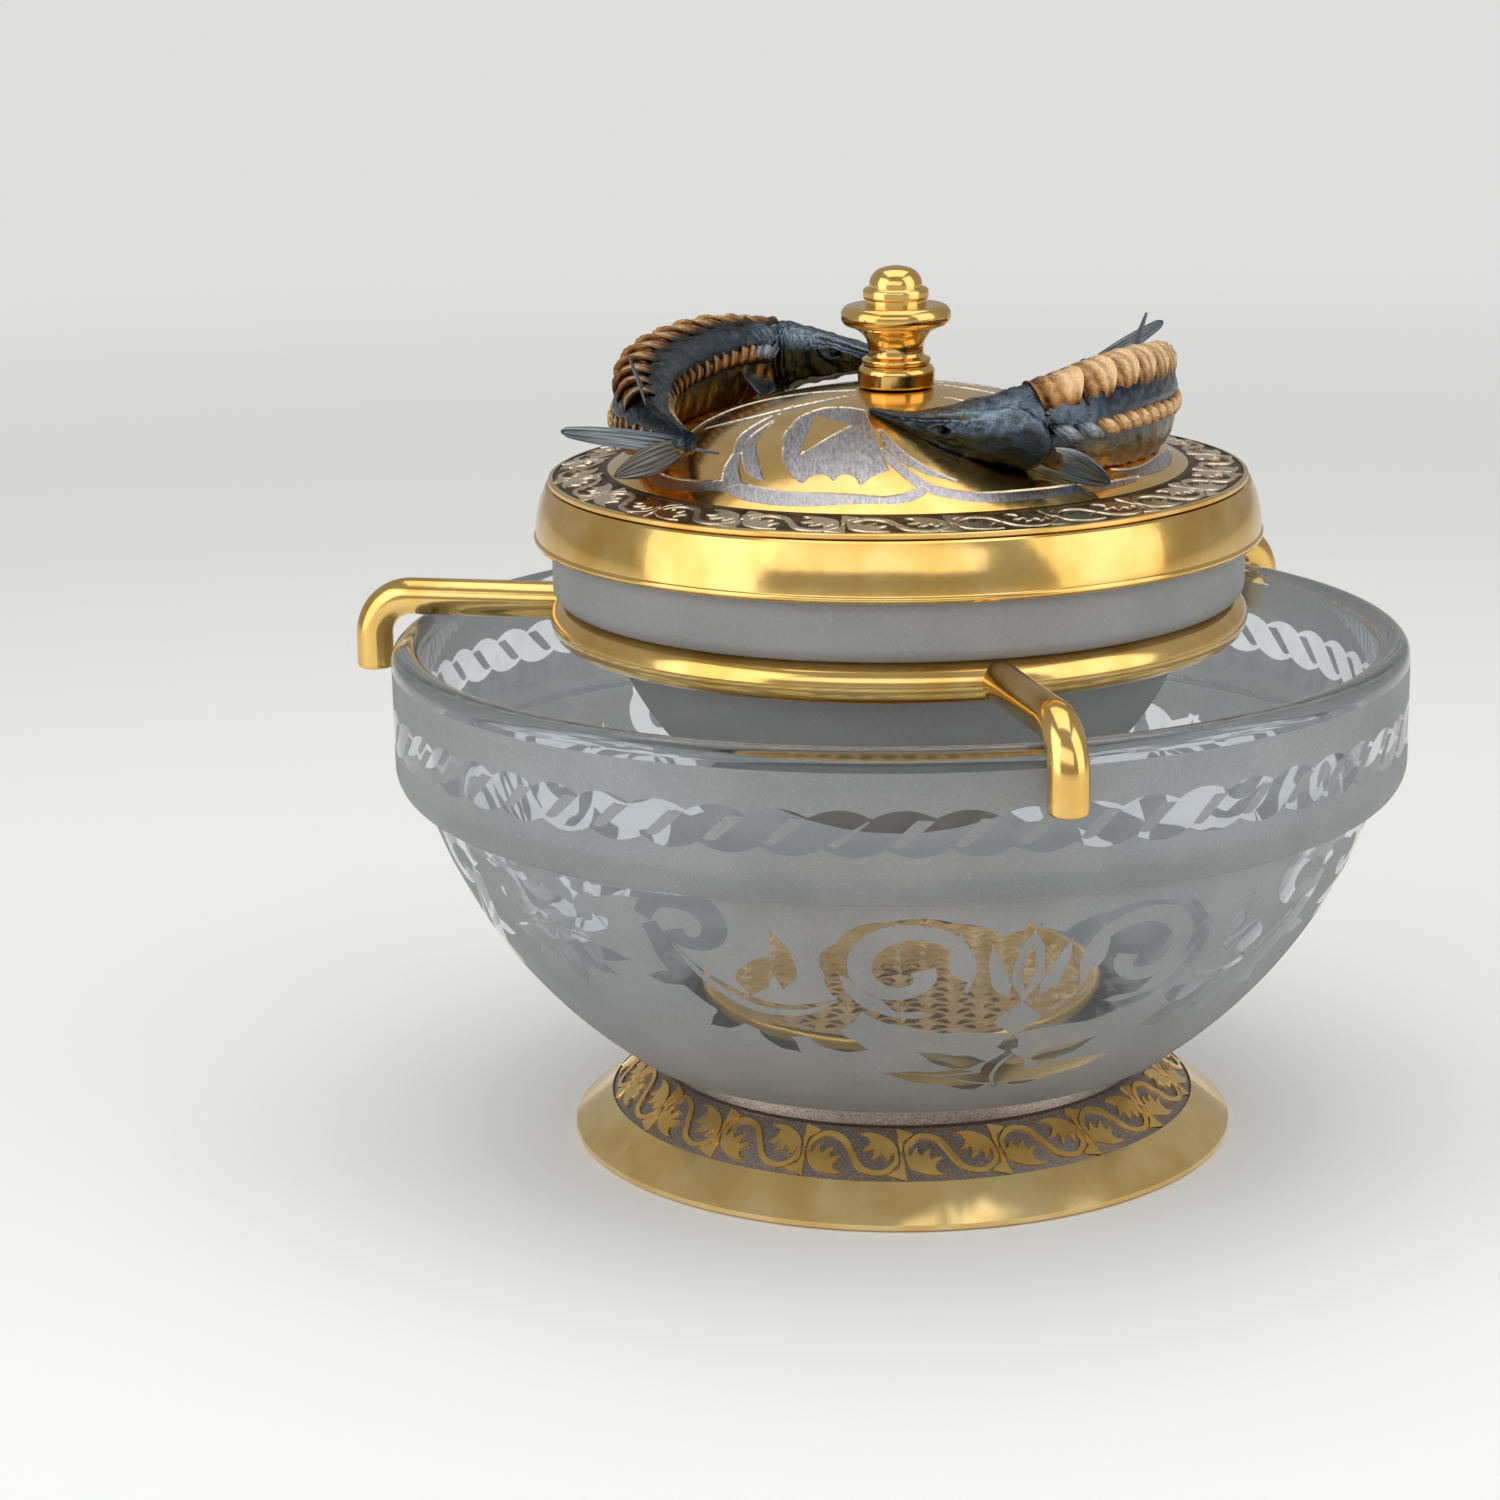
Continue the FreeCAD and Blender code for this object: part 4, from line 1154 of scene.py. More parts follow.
def lid_shapes():
    """Shapes on the lid's sheet, as (shape, kind): the silvered bands with their bevels, and the window."""
    bands = [ribbon(*stroke) for stroke in STROKES] + [bowed(SCALLOPED_LEAF, 8)]
    drawn = []
    for half in (1, -1):
        for band in bands:
            band = [p * half for p in band]
            drawn.append((on_dome(grown(band, ENGRAVE_EDGE)), BEVEL))
            drawn.append((on_dome(band), SILVERED))
        window = [Vector(p) * half for p in LEAF_WINDOW]
        drawn.append((on_dome(window), BEVEL))
        drawn.append((on_dome(grown(window, -ENGRAVE_EDGE)), MIRROR))
    return drawn


def make_lid():
    drawn = lid_shapes()
    top = POLE - KNOB_BASE
    rows = [d for d in lid.lengths if RING_START - ROW_SLACK < d < RING_END - ROW_SLACK]
    rows += steps_between(RING_END, top, LID_ROW_STEP)
    flat, faces, cover = cut_sheet(LID_AROUND, LID_TURNS, rows, [shape for shape, kind in drawn])
    kinds = [drawn[index][1] if index >= 0 else MIRROR for index in cover]
    sunk = {i for face, kind in zip(faces, kinds) if kind == SILVERED for i in face}
    spots = [(p.x / PLATE_RADIUS, p.y) for p in flat]
    marks = []
    for face, kind in zip(faces, kinds):
        marks.append(BITTEN if sum(flat[i].y for i in face) / 3 < RING_END else kind)
    rest = [top] + [d for d in lid.lengths if d > top + SAME_ROW]
    first = [d for d in lid.lengths if d < rows[0] + ROW_SLACK]
    for distances in (rest, first):
        more_spots, more_faces = turned_grid(LID_TURNS, distances)
        faces += shifted(more_faces, len(spots))
        spots += more_spots
        marks += [MIRROR] * len(more_faces)
    points = [lid.point(*spot, -ENGRAVE_DEPTH if i in sunk else 0.0) for i, spot in enumerate(spots)]
    faces, marks = weld(points, faces, marks)
    finishes = [gold, silver_edge, silver_ground, dark_ground]
    piece = make_mesh("lid_plate_engraved", points, faces, finishes, marks)
    crease(piece, 14)
    finish_piece(piece, ["lid_plate"])


def scraped_silver():
    """Silver scraped with a flat graver: long fine scratches side by side."""
    material, tree, shader = new_material("scraped_silver", {"Metallic": 1.0})
    scratch = noise_field(tree, 0.35, 4.0, 0.7, stretch=(1, 0.12, 0.5))
    shade = ramp(tree, scratch, [(0.38, "#77747A"), (0.6, "#D2CFCF")])
    colour = mix(tree, noise_field(tree, 7.0), shade, linear("#B5B1B4"))
    wire(tree, shader, colour, spread(tree, scratch, 0.2, 0.42), scratch, depth_mm=0.05)
    return material


silver_ground = scraped_silver()
make_lid()

# %% [markdown]
# Twenty of the same scrolls stand in the sunk ring of the lid, with their tops flush with its borders.

# %% Scrolls of the lid
LID_SCROLLS = 20
LID_MARGINS = (1.0, 1.0)
LID_RELIEF = (-0.28, -0.02)
lid_slope = Turned([(PLATE_RADIUS, PLATE_TOP_Z), (DOME_RADIUS, DOME_EDGE_Z)])
scroll_band("lid_scrolls", lid_slope, LID_MARGINS, LID_SCROLLS, LID_RELIEF, silver_edge)

# %% [markdown]
# Each sturgeon is cast in silver from a wax model and blackened with sulphur, then the raised parts are
# brushed bright again and the bony plates are gilded. The body is a skin over sections that follow the
# curve of the casting. A station gives the place of a section from the lid's axis and the dome's top,
# half its width, its height over and under the widest line, and how many degrees it leans. Near the head
# it is modelled: an eye in its socket, the arc of the gill cover, ridges on the snout. Two values are
# kept at every point for the finish: how far along the fish it is, and how high on its side.

# %% Shape of a sturgeon
DOME_TOP_Z = 119.7
DOME_GAP = 0.06
STATIONS = [
    (-4.0, -16.0, -0.5, 0.7, 0.5, 0.5, 0),
    (0.5, -20.6, -0.1, 1.8, 0.9, 1.0, 3),
    (5.5, -25.0, 0.3, 3.0, 1.8, 2.2, 7),
    (11.5, -28.7, 0.5, 4.3, 3.3, 4.2, 12),
    (18.0, -30.6, 0.6, 5.3, 4.6, 6.4, 16),
    (24.5, -28.2, 1.2, 5.8, 5.4, 8.5, 20),
    (29.5, -22.5, 1.7, 5.9, 5.6, 9.6, 22),
    (33.6, -15.5, 1.7, 5.8, 5.6, 10.2, 22),
    (37.0, -7.0, 1.2, 5.6, 5.4, 9.8, 22),
    (38.8, 2.0, 0.5, 5.2, 5.0, 8.8, 21),
    (39.2, 10.5, -0.4, 4.6, 4.4, 7.4, 18),
    (38.2, 18.5, -0.9, 3.8, 3.6, 5.6, 14),
    (36.0, 25.5, -1.4, 2.9, 2.7, 4.0, 10),
    (33.2, 31.0, -2.2, 2.1, 2.0, 2.8, 6),
    (30.6, 35.0, -2.8, 1.5, 1.6, 1.9, 3),
]
RIGHT_BEND = [-0.7, -1.7, -1.9, -1.5, -0.9, -0.3]
LEFT_BEND = [0.6, 0.9, 1.1, 1.2, 1.1, 0.7, 0.3]
HALF_SECTION = [
    (0, 1), (0.36, 0.86), (0.66, 0.6), (0.88, 0.3), (1, 0), (0.97, -0.28), (0.9, -0.56), (0.74, -0.82),
    (0.46, -1),
]
BODY_ROWS = 210
BODY_TURNS = 64
EYE_SHARE = 0.178
EYE_SIDE = 0.93
EYE_HEIGHT = -0.08
EYE_BALL = 0.62
NOSTRIL_SHARE = 0.125
GILL_SHARE = 0.285
CARVING = 1.25
GRAIN_COARSE = 0.3
GRAIN_FINE = 0.26


def section_line(count):
    """Points round the body's section, from the back over one side and the belly to the back again."""
    corners = [Vector(p) for p in HALF_SECTION]
    corners += [Vector((-p.x, p.y)) for p in reversed(corners) if p.x > 0]
    lengths = [0.0]
    for a, b in zip(corners, corners[1:] + corners[:1]):
        lengths.append(lengths[-1] + (b - a).length)
    line = []
    for step in range(count):
        wanted = lengths[-1] * step / count
        index = max(i for i in range(len(corners)) if lengths[i] <= wanted)
        share = (wanted - lengths[index]) / (lengths[index + 1] - lengths[index])
        nearby = [corners[(index + k) % len(corners)] for k in (-1, 0, 1, 2)]
        line.append(curve_point(nearby, share))
    return line


class Fish:
    """The frame of one casting. Shares run from 0 at the snout to 1 at the tail."""

    def __init__(self, bend, half_turned):
        self.hand = -1 if half_turned else 1
        self.stations = []
        for index, station in enumerate(STATIONS):
            lift = bend[index] if index < len(bend) else 0.0
            self.stations.append(Vector(station[:2] + (station[2] + lift,) + station[3:]))

    def values(self, share):
        """All seven values of the stations at a share of the way."""
        place = min(max(share, 0.0), 1.0) * (len(self.stations) - 1)
        index = min(int(place), len(self.stations) - 2)
        last = len(self.stations) - 1
        nearby = [self.stations[min(max(index + k, 0), last)] for k in (-1, 0, 1, 2)]
        return curve_point(nearby, place - index)

    def frame(self, share):
        """Centre, side, up, direction to the tail and upright of a section, with its three sizes."""
        here = self.values(share)
        along = (self.values(share + 0.02) - self.values(share - 0.02)).to_3d().normalized()
        flat_side = along.cross(Vector((0, 0, 1))).normalized()
        flat_up = flat_side.cross(along).normalized()
        lean = math.radians(here[6])
        side = flat_side * math.cos(lean) - flat_up * math.sin(lean)
        up = flat_up * math.cos(lean) + flat_side * math.sin(lean)
        return Vector((here[0], here[1], DOME_TOP_Z + here[2])), side, up, along, flat_up, here[3:6]

    def point(self, share, across, height):
        """Point of the body, before the half turn."""
        centre, side, up, along, flat_up, sizes = self.frame(share)
        if height > 0:
            return centre + side * across * sizes[0] + up * height * sizes[1]
        return centre + side * across * sizes[0] + flat_up * height * sizes[2]

    def turned(self, vector):
        """Half turn about the lid's axis for the casting on the left."""
        return Vector((vector.x * self.hand, vector.y * self.hand, vector.z))


def bell(value, width):
    """One in the middle, falling to nothing on both sides."""
    return math.exp(-(value / width) ** 2)


def carve(share, across, height):
    """How far the modelling lifts the skin, in millimetres."""
    side = abs(across)
    above = height > 0
    head = bell(max(0.0, share - 0.2), 0.06)
    # Ridges of the skull, with hollows between them
    lift = 0.65 * head * bell(side - 0.62, 0.1) - 0.35 * head * bell(side, 0.2) * above
    lift -= 0.4 * head * bell(side - 0.85, 0.09) * above
    # Edge of the gill cover with the slit behind it, and the rays over it
    gill = GILL_SHARE + 0.035 * (1 - min(1.0, abs(height + 0.2)) ** 2)
    if height < 0.72:
        lift += 0.5 * bell(share - gill + 0.016, 0.01) - 0.75 * bell(share - gill, 0.006)
    if height > -0.05 and share > 0.1:
        rays = math.sin(share * 380 - height * 9)
        lift += 0.35 * bell(side - 0.93, 0.12) * rays * bell(share - 0.27, 0.09)
    # Socket of the eye with its rim, and the nostril
    eye = math.hypot((share - EYE_SHARE) / 0.021, (height - EYE_HEIGHT) / 0.3)
    nostril = math.hypot((share - NOSTRIL_SHARE) / 0.011, (height - 0.1) / 0.22)
    if side > 0.6:
        lift += 0.4 * bell(eye - 1, 0.3) - 0.6 * bell(eye, 0.7) - 0.45 * bell(nostril, 0.8)
    # Fine folds of the belly
    if height < -0.1:
        lift += 0.12 * math.sin(share * 150 + height * 3) * bell(share - 0.6, 0.3)
    return lift


def skin(rings):
    """Closed skin over rings of points, with a point at the middle of each end."""
    count = len(rings[0])
    points = [p for ring in rings for p in ring]
    faces = []
    for row in range(len(rings) - 1):
        for i in range(count):
            j = (i + 1) % count
            faces.append((row * count + i, row * count + j, (row + 1) * count + j, (row + 1) * count + i))
    for row, flip in ((0, True), (len(rings) - 1, False)):
        points.append(sum(rings[row], Vector((0, 0, 0))) / count)
        for i in range(count):
            ring_edge = (row * count + i, row * count + (i + 1) % count)
            faces.append((ring_edge[::-1] if flip else ring_edge) + (len(points) - 1,))
    return points, faces


def outward(points, faces):
    """Turns all faces over if they point inwards."""
    volume = 0.0
    for face in faces:
        a = points[face[0]]
        for i in range(1, len(face) - 1):
            volume += a.dot(points[face[i]].cross(points[face[i + 1]]))
    return faces if volume > 0 else [face[::-1] for face in faces]


def clear_of_dome(point):
    """Keeps a point of a casting outside the dome that it sits on."""
    centre = Vector((0, 0, DOME_CENTRE_Z))
    reach = point - centre
    if reach.length < DOME_SPHERE + DOME_GAP:
        return centre + reach.normalized() * (DOME_SPHERE + DOME_GAP)
    return point


def body_skin(fish):
    """Rings of the body and the two values kept at their points."""
    line = section_line(BODY_TURNS)
    rings = []
    kept = []
    for row in range(BODY_ROWS + 1):
        share = row / BODY_ROWS
        centre, side, up, along, flat_up, sizes = fish.frame(share)
        round_off = min(1.0, math.sqrt((row + 0.4) / 7))
        ring = []
        for across, height in line:
            rise = up * height * sizes[1] if height > 0 else flat_up * height * sizes[2]
            reach = side * across * sizes[0] + rise
            coarse = noise.noise(Vector((share * 45, across * 3, height * 3)))
            fine = noise.noise(Vector((share * 95, across * 6, height * 6)))
            grain = GRAIN_COARSE * coarse + GRAIN_FINE * fine
            lift = (CARVING * carve(share, across, height) + grain) * min(1.0, sizes[0] / 3)
            ring.append(clear_of_dome(centre + reach * round_off + reach.normalized() * lift))
            kept.append((share, height))
        rings.append(ring)
    return rings, kept


print("section points", len(section_line(BODY_TURNS)))

# %% [markdown]
# The fins are thin cast blades with a thick front edge and fine rays from the root to the tip. A blade is
# a skin over flat rings, from its root on the body to its tip. Each fin is given by the two ends of its
# root on the body, its tip, how far its edges bow out, half the width of its blunt tip, its number of
# rays, and its material.

# %% Fins of a sturgeon
SKIN, BREAST, RAYED, LEAF, EYE = range(5)
FIN_HALF = 0.42
FIN_ROWS = 22
FIN_COLUMNS = 26
BREAST_FIN = ((0.235, 0.45, -0.8), (0.325, 0.93, -0.4), (31.5, -33.0, -9.9), 1.7, 0.8, 9, BREAST)
INNER_FIN = ((0.31, -0.5, -0.8), (0.42, -0.8, -0.4), (22.0, -17.0, -3.6), 1.3, 0.4, 9, BREAST)
BACK_FIN = ((0.76, -0.3, 0.55), (0.86, 0.3, 0.5), (40.1, 21.7, 8.0), 0.6, 0.9, 4, RAYED)
VENT_FIN = ((0.84, -0.2, -0.8), (0.93, -0.2, -0.8), (26.5, 29.5, -5.5), 0.6, 0.4, 5, RAYED)
TAIL_LEAF = ((0.99, 0, -0.9), (1.0, 0, 0.3), (42.0, 31.0, -8.5), 1.9, 0.4, 6, LEAF)
RIGHT_TAIL = ((1.0, 0, 0.3), (1.0, 0, -0.9), (44.0, 38.0, 4.5), 0.9, 0.7, 5, RAYED)
LEFT_TAIL = ((1.0, 0, 0.3), (1.0, 0, -0.9), (50.0, 28.0, -2.2), 1.1, 0.8, 5, RAYED)
FINS = [BREAST_FIN, INNER_FIN, BACK_FIN, VENT_FIN, TAIL_LEAF]


def quarter(a, b, middle, share):
    """Point on an even bend from a to b that passes the middle half way."""
    control = middle * 2 - (a + b) * 0.5
    rest = 1 - share
    return a * rest * rest + control * 2 * rest * share + b * share * share


def fin_skin(root, root_end, tip, bulge, blunt, rays):
    """Rings of a blade."""
    along = tip - root
    across = (root_end - root) - along * ((root_end - root).dot(along) / along.dot(along))
    out = across.normalized()
    normal = along.cross(out).normalized()
    lead = (root + tip) * 0.5 - out * bulge
    trail = (root_end + tip) * 0.5 + out * bulge
    rings = []
    for row in range(FIN_ROWS + 1):
        share = row / FIN_ROWS
        # The tip is rounded off over its last part
        narrow = math.sqrt(1 - max(0.0, (share - 0.93) / 0.075) ** 2)
        front = quarter(root, tip - out * blunt, lead, share)
        back = quarter(root_end, tip + out * blunt, trail, share)
        middle = (front + back) * 0.5
        front = middle + (front - middle) * narrow
        back = middle + (back - middle) * narrow
        ring = []
        for step in range(2 * FIN_COLUMNS):
            upper = step < FIN_COLUMNS
            place = (step if upper else 2 * FIN_COLUMNS - step) / FIN_COLUMNS
            place = 0.02 + 0.96 * place
            # Thin towards both edges, rippled by the rays, and thick along the front
            edge = (4 * place * (1 - place)) ** 0.35
            ray = 0.72 + 0.28 * math.cos(math.tau * rays * place)
            body = 0.55 + 0.45 * bell(place - 0.12, 0.14)
            half = FIN_HALF * edge * ray * body * (1 - 0.35 * share)
            ring.append(front + (back - front) * place + normal * (half if upper else -half))
        rings.append(ring)
    return rings


def eye_ball(fish, hand):
    """Rings of a small ball in the socket."""
    centre = fish.point(EYE_SHARE, hand * EYE_SIDE, EYE_HEIGHT)
    turns = [math.tau * step / 12 for step in range(12)]
    rings = []
    for row in range(1, 8):
        polar = math.pi * row / 8
        reach, rise = math.sin(polar), math.cos(polar)
        ring = [Vector((reach * math.cos(turn), reach * math.sin(turn), rise)) for turn in turns]
        rings.append([centre + way * EYE_BALL for way in ring])
    return rings


def make_sturgeon(name, bend, tail, node, half_turned):
    """Body, fins and eyes of one casting as one piece. Returns the casting's frame."""
    fish = Fish(bend, half_turned)
    rings, kept = body_skin(fish)
    layers = [(rings, SKIN, kept)]
    fin_places = [(row / FIN_ROWS, step / FIN_COLUMNS) for row in range(FIN_ROWS + 1)
                  for step in range(2 * FIN_COLUMNS)]
    for root, root_end, tip, *form, mark in FINS + [tail]:
        tip_place = Vector((tip[0], tip[1], DOME_TOP_Z + tip[2]))
        blade = fin_skin(fish.point(*root), fish.point(*root_end), tip_place, *form)
        layers.append((blade, mark, fin_places))
    for hand in (1, -1):
        rings = eye_ball(fish, hand)
        layers.append((rings, EYE, [(0, 0)] * len(rings) * len(rings[0])))
    points, faces, marks, values = [], [], [], []
    for rings, mark, kept in layers:
        more, more_faces = skin(rings)
        faces += shifted(outward(more, more_faces), len(points))
        points += [fish.turned(p) for p in more]
        marks += [mark] * len(more_faces)
        values += kept + [kept[0], kept[-1]]
    piece = make_mesh(name, points, faces, [fish_skin, fin_breast, fin_silver, fin_leaf, eye_glint], marks)
    keep_value(piece, "share", [share for share, height in values])
    keep_value(piece, "height", [height for share, height in values])
    finish_piece(piece, [node])
    return fish


print("fins of a casting", len(FINS) + 1)

# %% [markdown]
# Blackened silver: sulphur turns the surface blue-black. Brushing takes it off again where the brush
# reaches, so the flanks are a blue grey and the hollows stay dark. The belly is gilded. The rays of the
# fins are brushed to a lighter grey.

# %% Blackened silver
TRUNK_TONES = [(0.0, "#D29C50"), (0.16, "#9C7C48"), (0.3, "#5C584B"), (0.42, "#4E555B"), (0.62, "#4E5964"),
               (0.8, "#28303A"), (1.0, "#171C22")]
HEAD_TONES = [(0.0, "#2E2E2C"), (0.3, "#32373B"), (0.5, "#434B53"), (0.75, "#74818C"), (1.0, "#48525C")]


def attribute(tree, name):
    """A value that is kept at the points."""
    return add(tree, "ShaderNodeAttribute", attribute_name=name).outputs["Fac"]


def blackened_skin():
    """Tones from the belly to the back, other ones on the head, and dark pits."""
    material, tree, shader = new_material("blackened_cast_silver", {"Metallic": 1.0})
    cloud = noise_field(tree, 3.5, 4.0, 0.6)
    shift = calculate(tree, "MULTIPLY_ADD", cloud, 0.7, -0.35)
    level = rise_between(tree, calculate(tree, "ADD", attribute(tree, "height"), shift), -1.0, 1.0)
    behind_head = rise_between(tree, attribute(tree, "share"), 0.3, 0.38)
    tone = mix(tree, behind_head, ramp(tree, level, HEAD_TONES), ramp(tree, level, TRUNK_TONES))
    pits = noise_field(tree, 0.5, 3.0, 0.7)
    colour = mix(tree, 1.0, tone, ramp(tree, pits, [(0.3, "#8C8C8C"), (0.45, "#FFFFFF")]), "MULTIPLY")
    wire(tree, shader, colour, spread(tree, cloud, 0.1, 0.34), pits, depth_mm=0.1)
    return material


def fin_finish(name, low, high, root):
    """Brushed blade: lighter rays, darker webs between them, another tone at the root."""
    material, tree, shader = new_material(name, {"Metallic": 1.0, "Roughness": 0.36})
    share = attribute(tree, "share")
    across = calculate(tree, "MULTIPLY", attribute(tree, "height"), 14.0)
    place = add(tree, "ShaderNodeCombineXYZ", {"X": share, "Y": across}).outputs[0]
    streak = add(tree, "ShaderNodeTexNoise", {"Vector": place, "Scale": 1.6, "Detail": 3.0}).outputs[0]
    tone = ramp(tree, streak, [(0.35, low), (0.62, high)])
    colour = mix(tree, rise_between(tree, share, 0.1, 0.45), linear(root), tone)
    wire(tree, shader, colour, height=streak, depth_mm=0.08)
    return material


fish_skin = blackened_skin()
fin_breast = fin_finish("breast_fin_silver", "#36404A", "#7F8D9A", "#B7C2CC")
fin_silver = fin_finish("ray_silver", "#31373B", "#9AA0A4", "#454B51")
fin_leaf = fin_finish("tail_leaf_silver", "#38383A", "#85827A", "#57554E")
eye_glint = gilding("eye_black", 0.12, "#2A2D30", "#15181B")
right_fish = make_sturgeon("sturgeon_right_carved", RIGHT_BEND, RIGHT_TAIL, "sturgeon_right", False)
left_fish = make_sturgeon("sturgeon_left_carved", LEFT_BEND, LEFT_TAIL, "sturgeon_left", True)

# %% [markdown]
# The bony plates are cast with the body and gilded by hand, but for the first two of each flank. One
# plate of the back is a saddle whose hind edge stands up and overlaps the next, with growth lines that
# follow that edge, and it sits a little towards the outer flank. A plate of the flank is a small slanted
# scale. Geometry Nodes set them on points along the body that carry a direction, an upright and a size.

# %% Bony plates
GROWTH_LINES = 3
GROWTH = 0.2
CRUMPLE = 0.16
PLATE_DEPTH = 0.6
BACK_PLATE = {"half_width": 4.2, "length": 6.0, "lift": 1.25, "droop": 0.15, "rows": 20, "columns": 14}
SIDE_PLATE = {"half_width": 2.0, "length": 2.4, "lift": 0.95, "droop": 0.12, "rows": 8, "columns": 6}
SIDE_SLANT = 0.75
BACK_PLATES = 10
BACK_PLATE_SHIFT = 0.17
BACK_PLATE_HEIGHT = 0.96
BACK_PLATE_SINK = 0.1
BACK_PLATE_TILT = 0.22
SIDE_PLATES = 22
SIDE_PLATE_REACH = 0.96
SIDE_PLATE_HEIGHT = -0.16
SIDE_PLATE_TILT = 0.25
SILVER_PLATES = 2
PLATES_FROM = 0.33
BACK_PLATES_TO = 0.78
SIDE_PLATES_TO = 0.9
# Half width and height of the body where a plate has its full size
FULL_WIDTH = 5.6
FULL_HEIGHT = 5.4


def plate_motif(name, half_width, length, lift, droop, rows, columns, slant=0.0):
    """Closed plate that lies along +y and over the X axis; its points keep how high they stand."""
    rings = []
    for row in range(rows + 1):
        v = row / rows
        top = []
        under = []
        for column in range(columns + 1):
            u = 2 * column / columns - 1
            inside = 1 - u ** 6
            x = u * half_width * (0.72 + 0.28 * math.sin(math.pi * (0.2 + 0.6 * v)))
            y = length * (v * (0.95 + 0.35 * (1 - u * u)) - 0.45 + 0.05 * u * u) + slant * x
            growth = GROWTH * math.cos(GROWTH_LINES * math.tau * v) * (0.4 + 0.6 * abs(u)) * inside
            crumple = CRUMPLE * noise.noise(Vector((x * 1.4, y * 1.4, lift))) * inside
            rise = lift * ((0.3 + 0.7 * v ** 1.3) * (1 - abs(u) ** 3.5) + growth + crumple)
            sag = droop * x * x
            top.append(Vector((x, y, rise - sag)))
            under.append(Vector((x * 0.97, y - 0.15 * length * v, -PLATE_DEPTH - sag)))
        rings.append(top + under[::-1])
    points, faces = skin(rings)
    motif = make_mesh(name, points, outward(points, faces), [])
    keep_value(motif, "rise", [(p.z + droop * p.x * p.x) / lift for p in points])
    crease(motif, 50)
    return motif


def plate_tree():
    """Sets an object on points. Inputs: the points, the object and the material. The points carry along, up
    and size."""
    tree, inputs = new_tree("set_on_points", "Geometry", "Motif", "Finish")
    kept = {}
    for name in ("along", "up", "size"):
        reader = add(tree, "GeometryNodeInputNamedAttribute", {"Name": name}, data_type="FLOAT_VECTOR")
        kept[name] = reader.outputs["Attribute"]
    axes = {"Primary Axis": kept["up"], "Secondary Axis": kept["along"]}
    turn = add(tree, "FunctionNodeAxesToRotation", axes, primary_axis="Z", secondary_axis="Y").outputs[0]
    set_copies(tree, inputs, {"Points": inputs["Geometry"], "Rotation": turn, "Scale": kept["size"]})
    return tree


def plate_points(name, places):
    """Mesh of points that carry a direction, an upright and a size each."""
    mesh = bpy.data.meshes.new(name)
    mesh.from_pydata([place[0] * MM for place in places], [], [])
    for index, title in ((1, "along"), (2, "up"), (3, "size")):
        flat = [value for place in places for value in place[index]]
        mesh.attributes.new(title, "FLOAT_VECTOR", "POINT").data.foreach_set("vector", flat)
    return mesh


def back_places(fish):
    """Places of the plates of the back: point, direction, upright and size of each."""
    places = []
    for index in range(BACK_PLATES):
        share = PLATES_FROM + (BACK_PLATES_TO - PLATES_FROM) * index / (BACK_PLATES - 1)
        centre, side, up, along, flat_up, sizes = fish.frame(share)
        width = sizes[0] / FULL_WIDTH
        spot = fish.point(share, BACK_PLATE_SHIFT, BACK_PLATE_HEIGHT) - up * BACK_PLATE_SINK
        out = (up + side * BACK_PLATE_TILT).normalized()
        size = (width, 0.35 + 0.65 * width, sizes[1] / FULL_HEIGHT)
        places.append((fish.turned(spot), fish.turned(along), fish.turned(out), size))
    return places


def side_places(fish, hand, first, last):
    """Places of the plates of one flank, from the first number up to the last. hand: 1 for the outer flank,
    -1 for the inner one."""
    places = []
    for index in range(first, last):
        share = PLATES_FROM + (SIDE_PLATES_TO - PLATES_FROM) * index / (SIDE_PLATES - 1)
        centre, side, up, along, flat_up, sizes = fish.frame(share)
        spot = fish.point(share, hand * SIDE_PLATE_REACH, SIDE_PLATE_HEIGHT)
        out = (side * hand + flat_up * SIDE_PLATE_TILT).normalized()
        size = 0.4 + 0.6 * sizes[0] / FULL_WIDTH
        places.append((fish.turned(spot), fish.turned(along), fish.turned(out), (size, size, size)))
    return places


def plate_blackening_and_painted_shade(name, hollow, middle, crest):
    """Metal that is dark in the hollows of a plate and bright on its crests. On the gilded plates the dark
    is painted shade and the bright a painted highlight; on the silver ones they are the blackening that the
    brush left and the brushed crests.
    """
    material, tree, shader = new_material(name, {"Metallic": 1.0})
    grain = noise_field(tree, 0.9, 4.0, 0.7)
    rise = calculate(tree, "MULTIPLY_ADD", grain, 0.5, attribute(tree, "rise"))
    # Colour by how high a point of the plate stands: painted shade and highlight on the gilded plates
    colour = ramp(tree, rise, [(0.4, hollow), (0.68, middle), (1.0, crest)])
    wire(tree, shader, colour, spread(tree, grain, 0.22, 0.46), grain, depth_mm=0.4)
    return material


def set_plates(name, motif, finish, slot, find, *which):
    """Sets a plate on the places that are found on both castings."""
    places = [place for fish in (right_fish, left_fish) for place in find(fish, *which)]
    plates = grow(name, set_on_points, {"Motif": motif, "Finish": finish}, plate_points(name, places))
    finish_piece(plates, None)


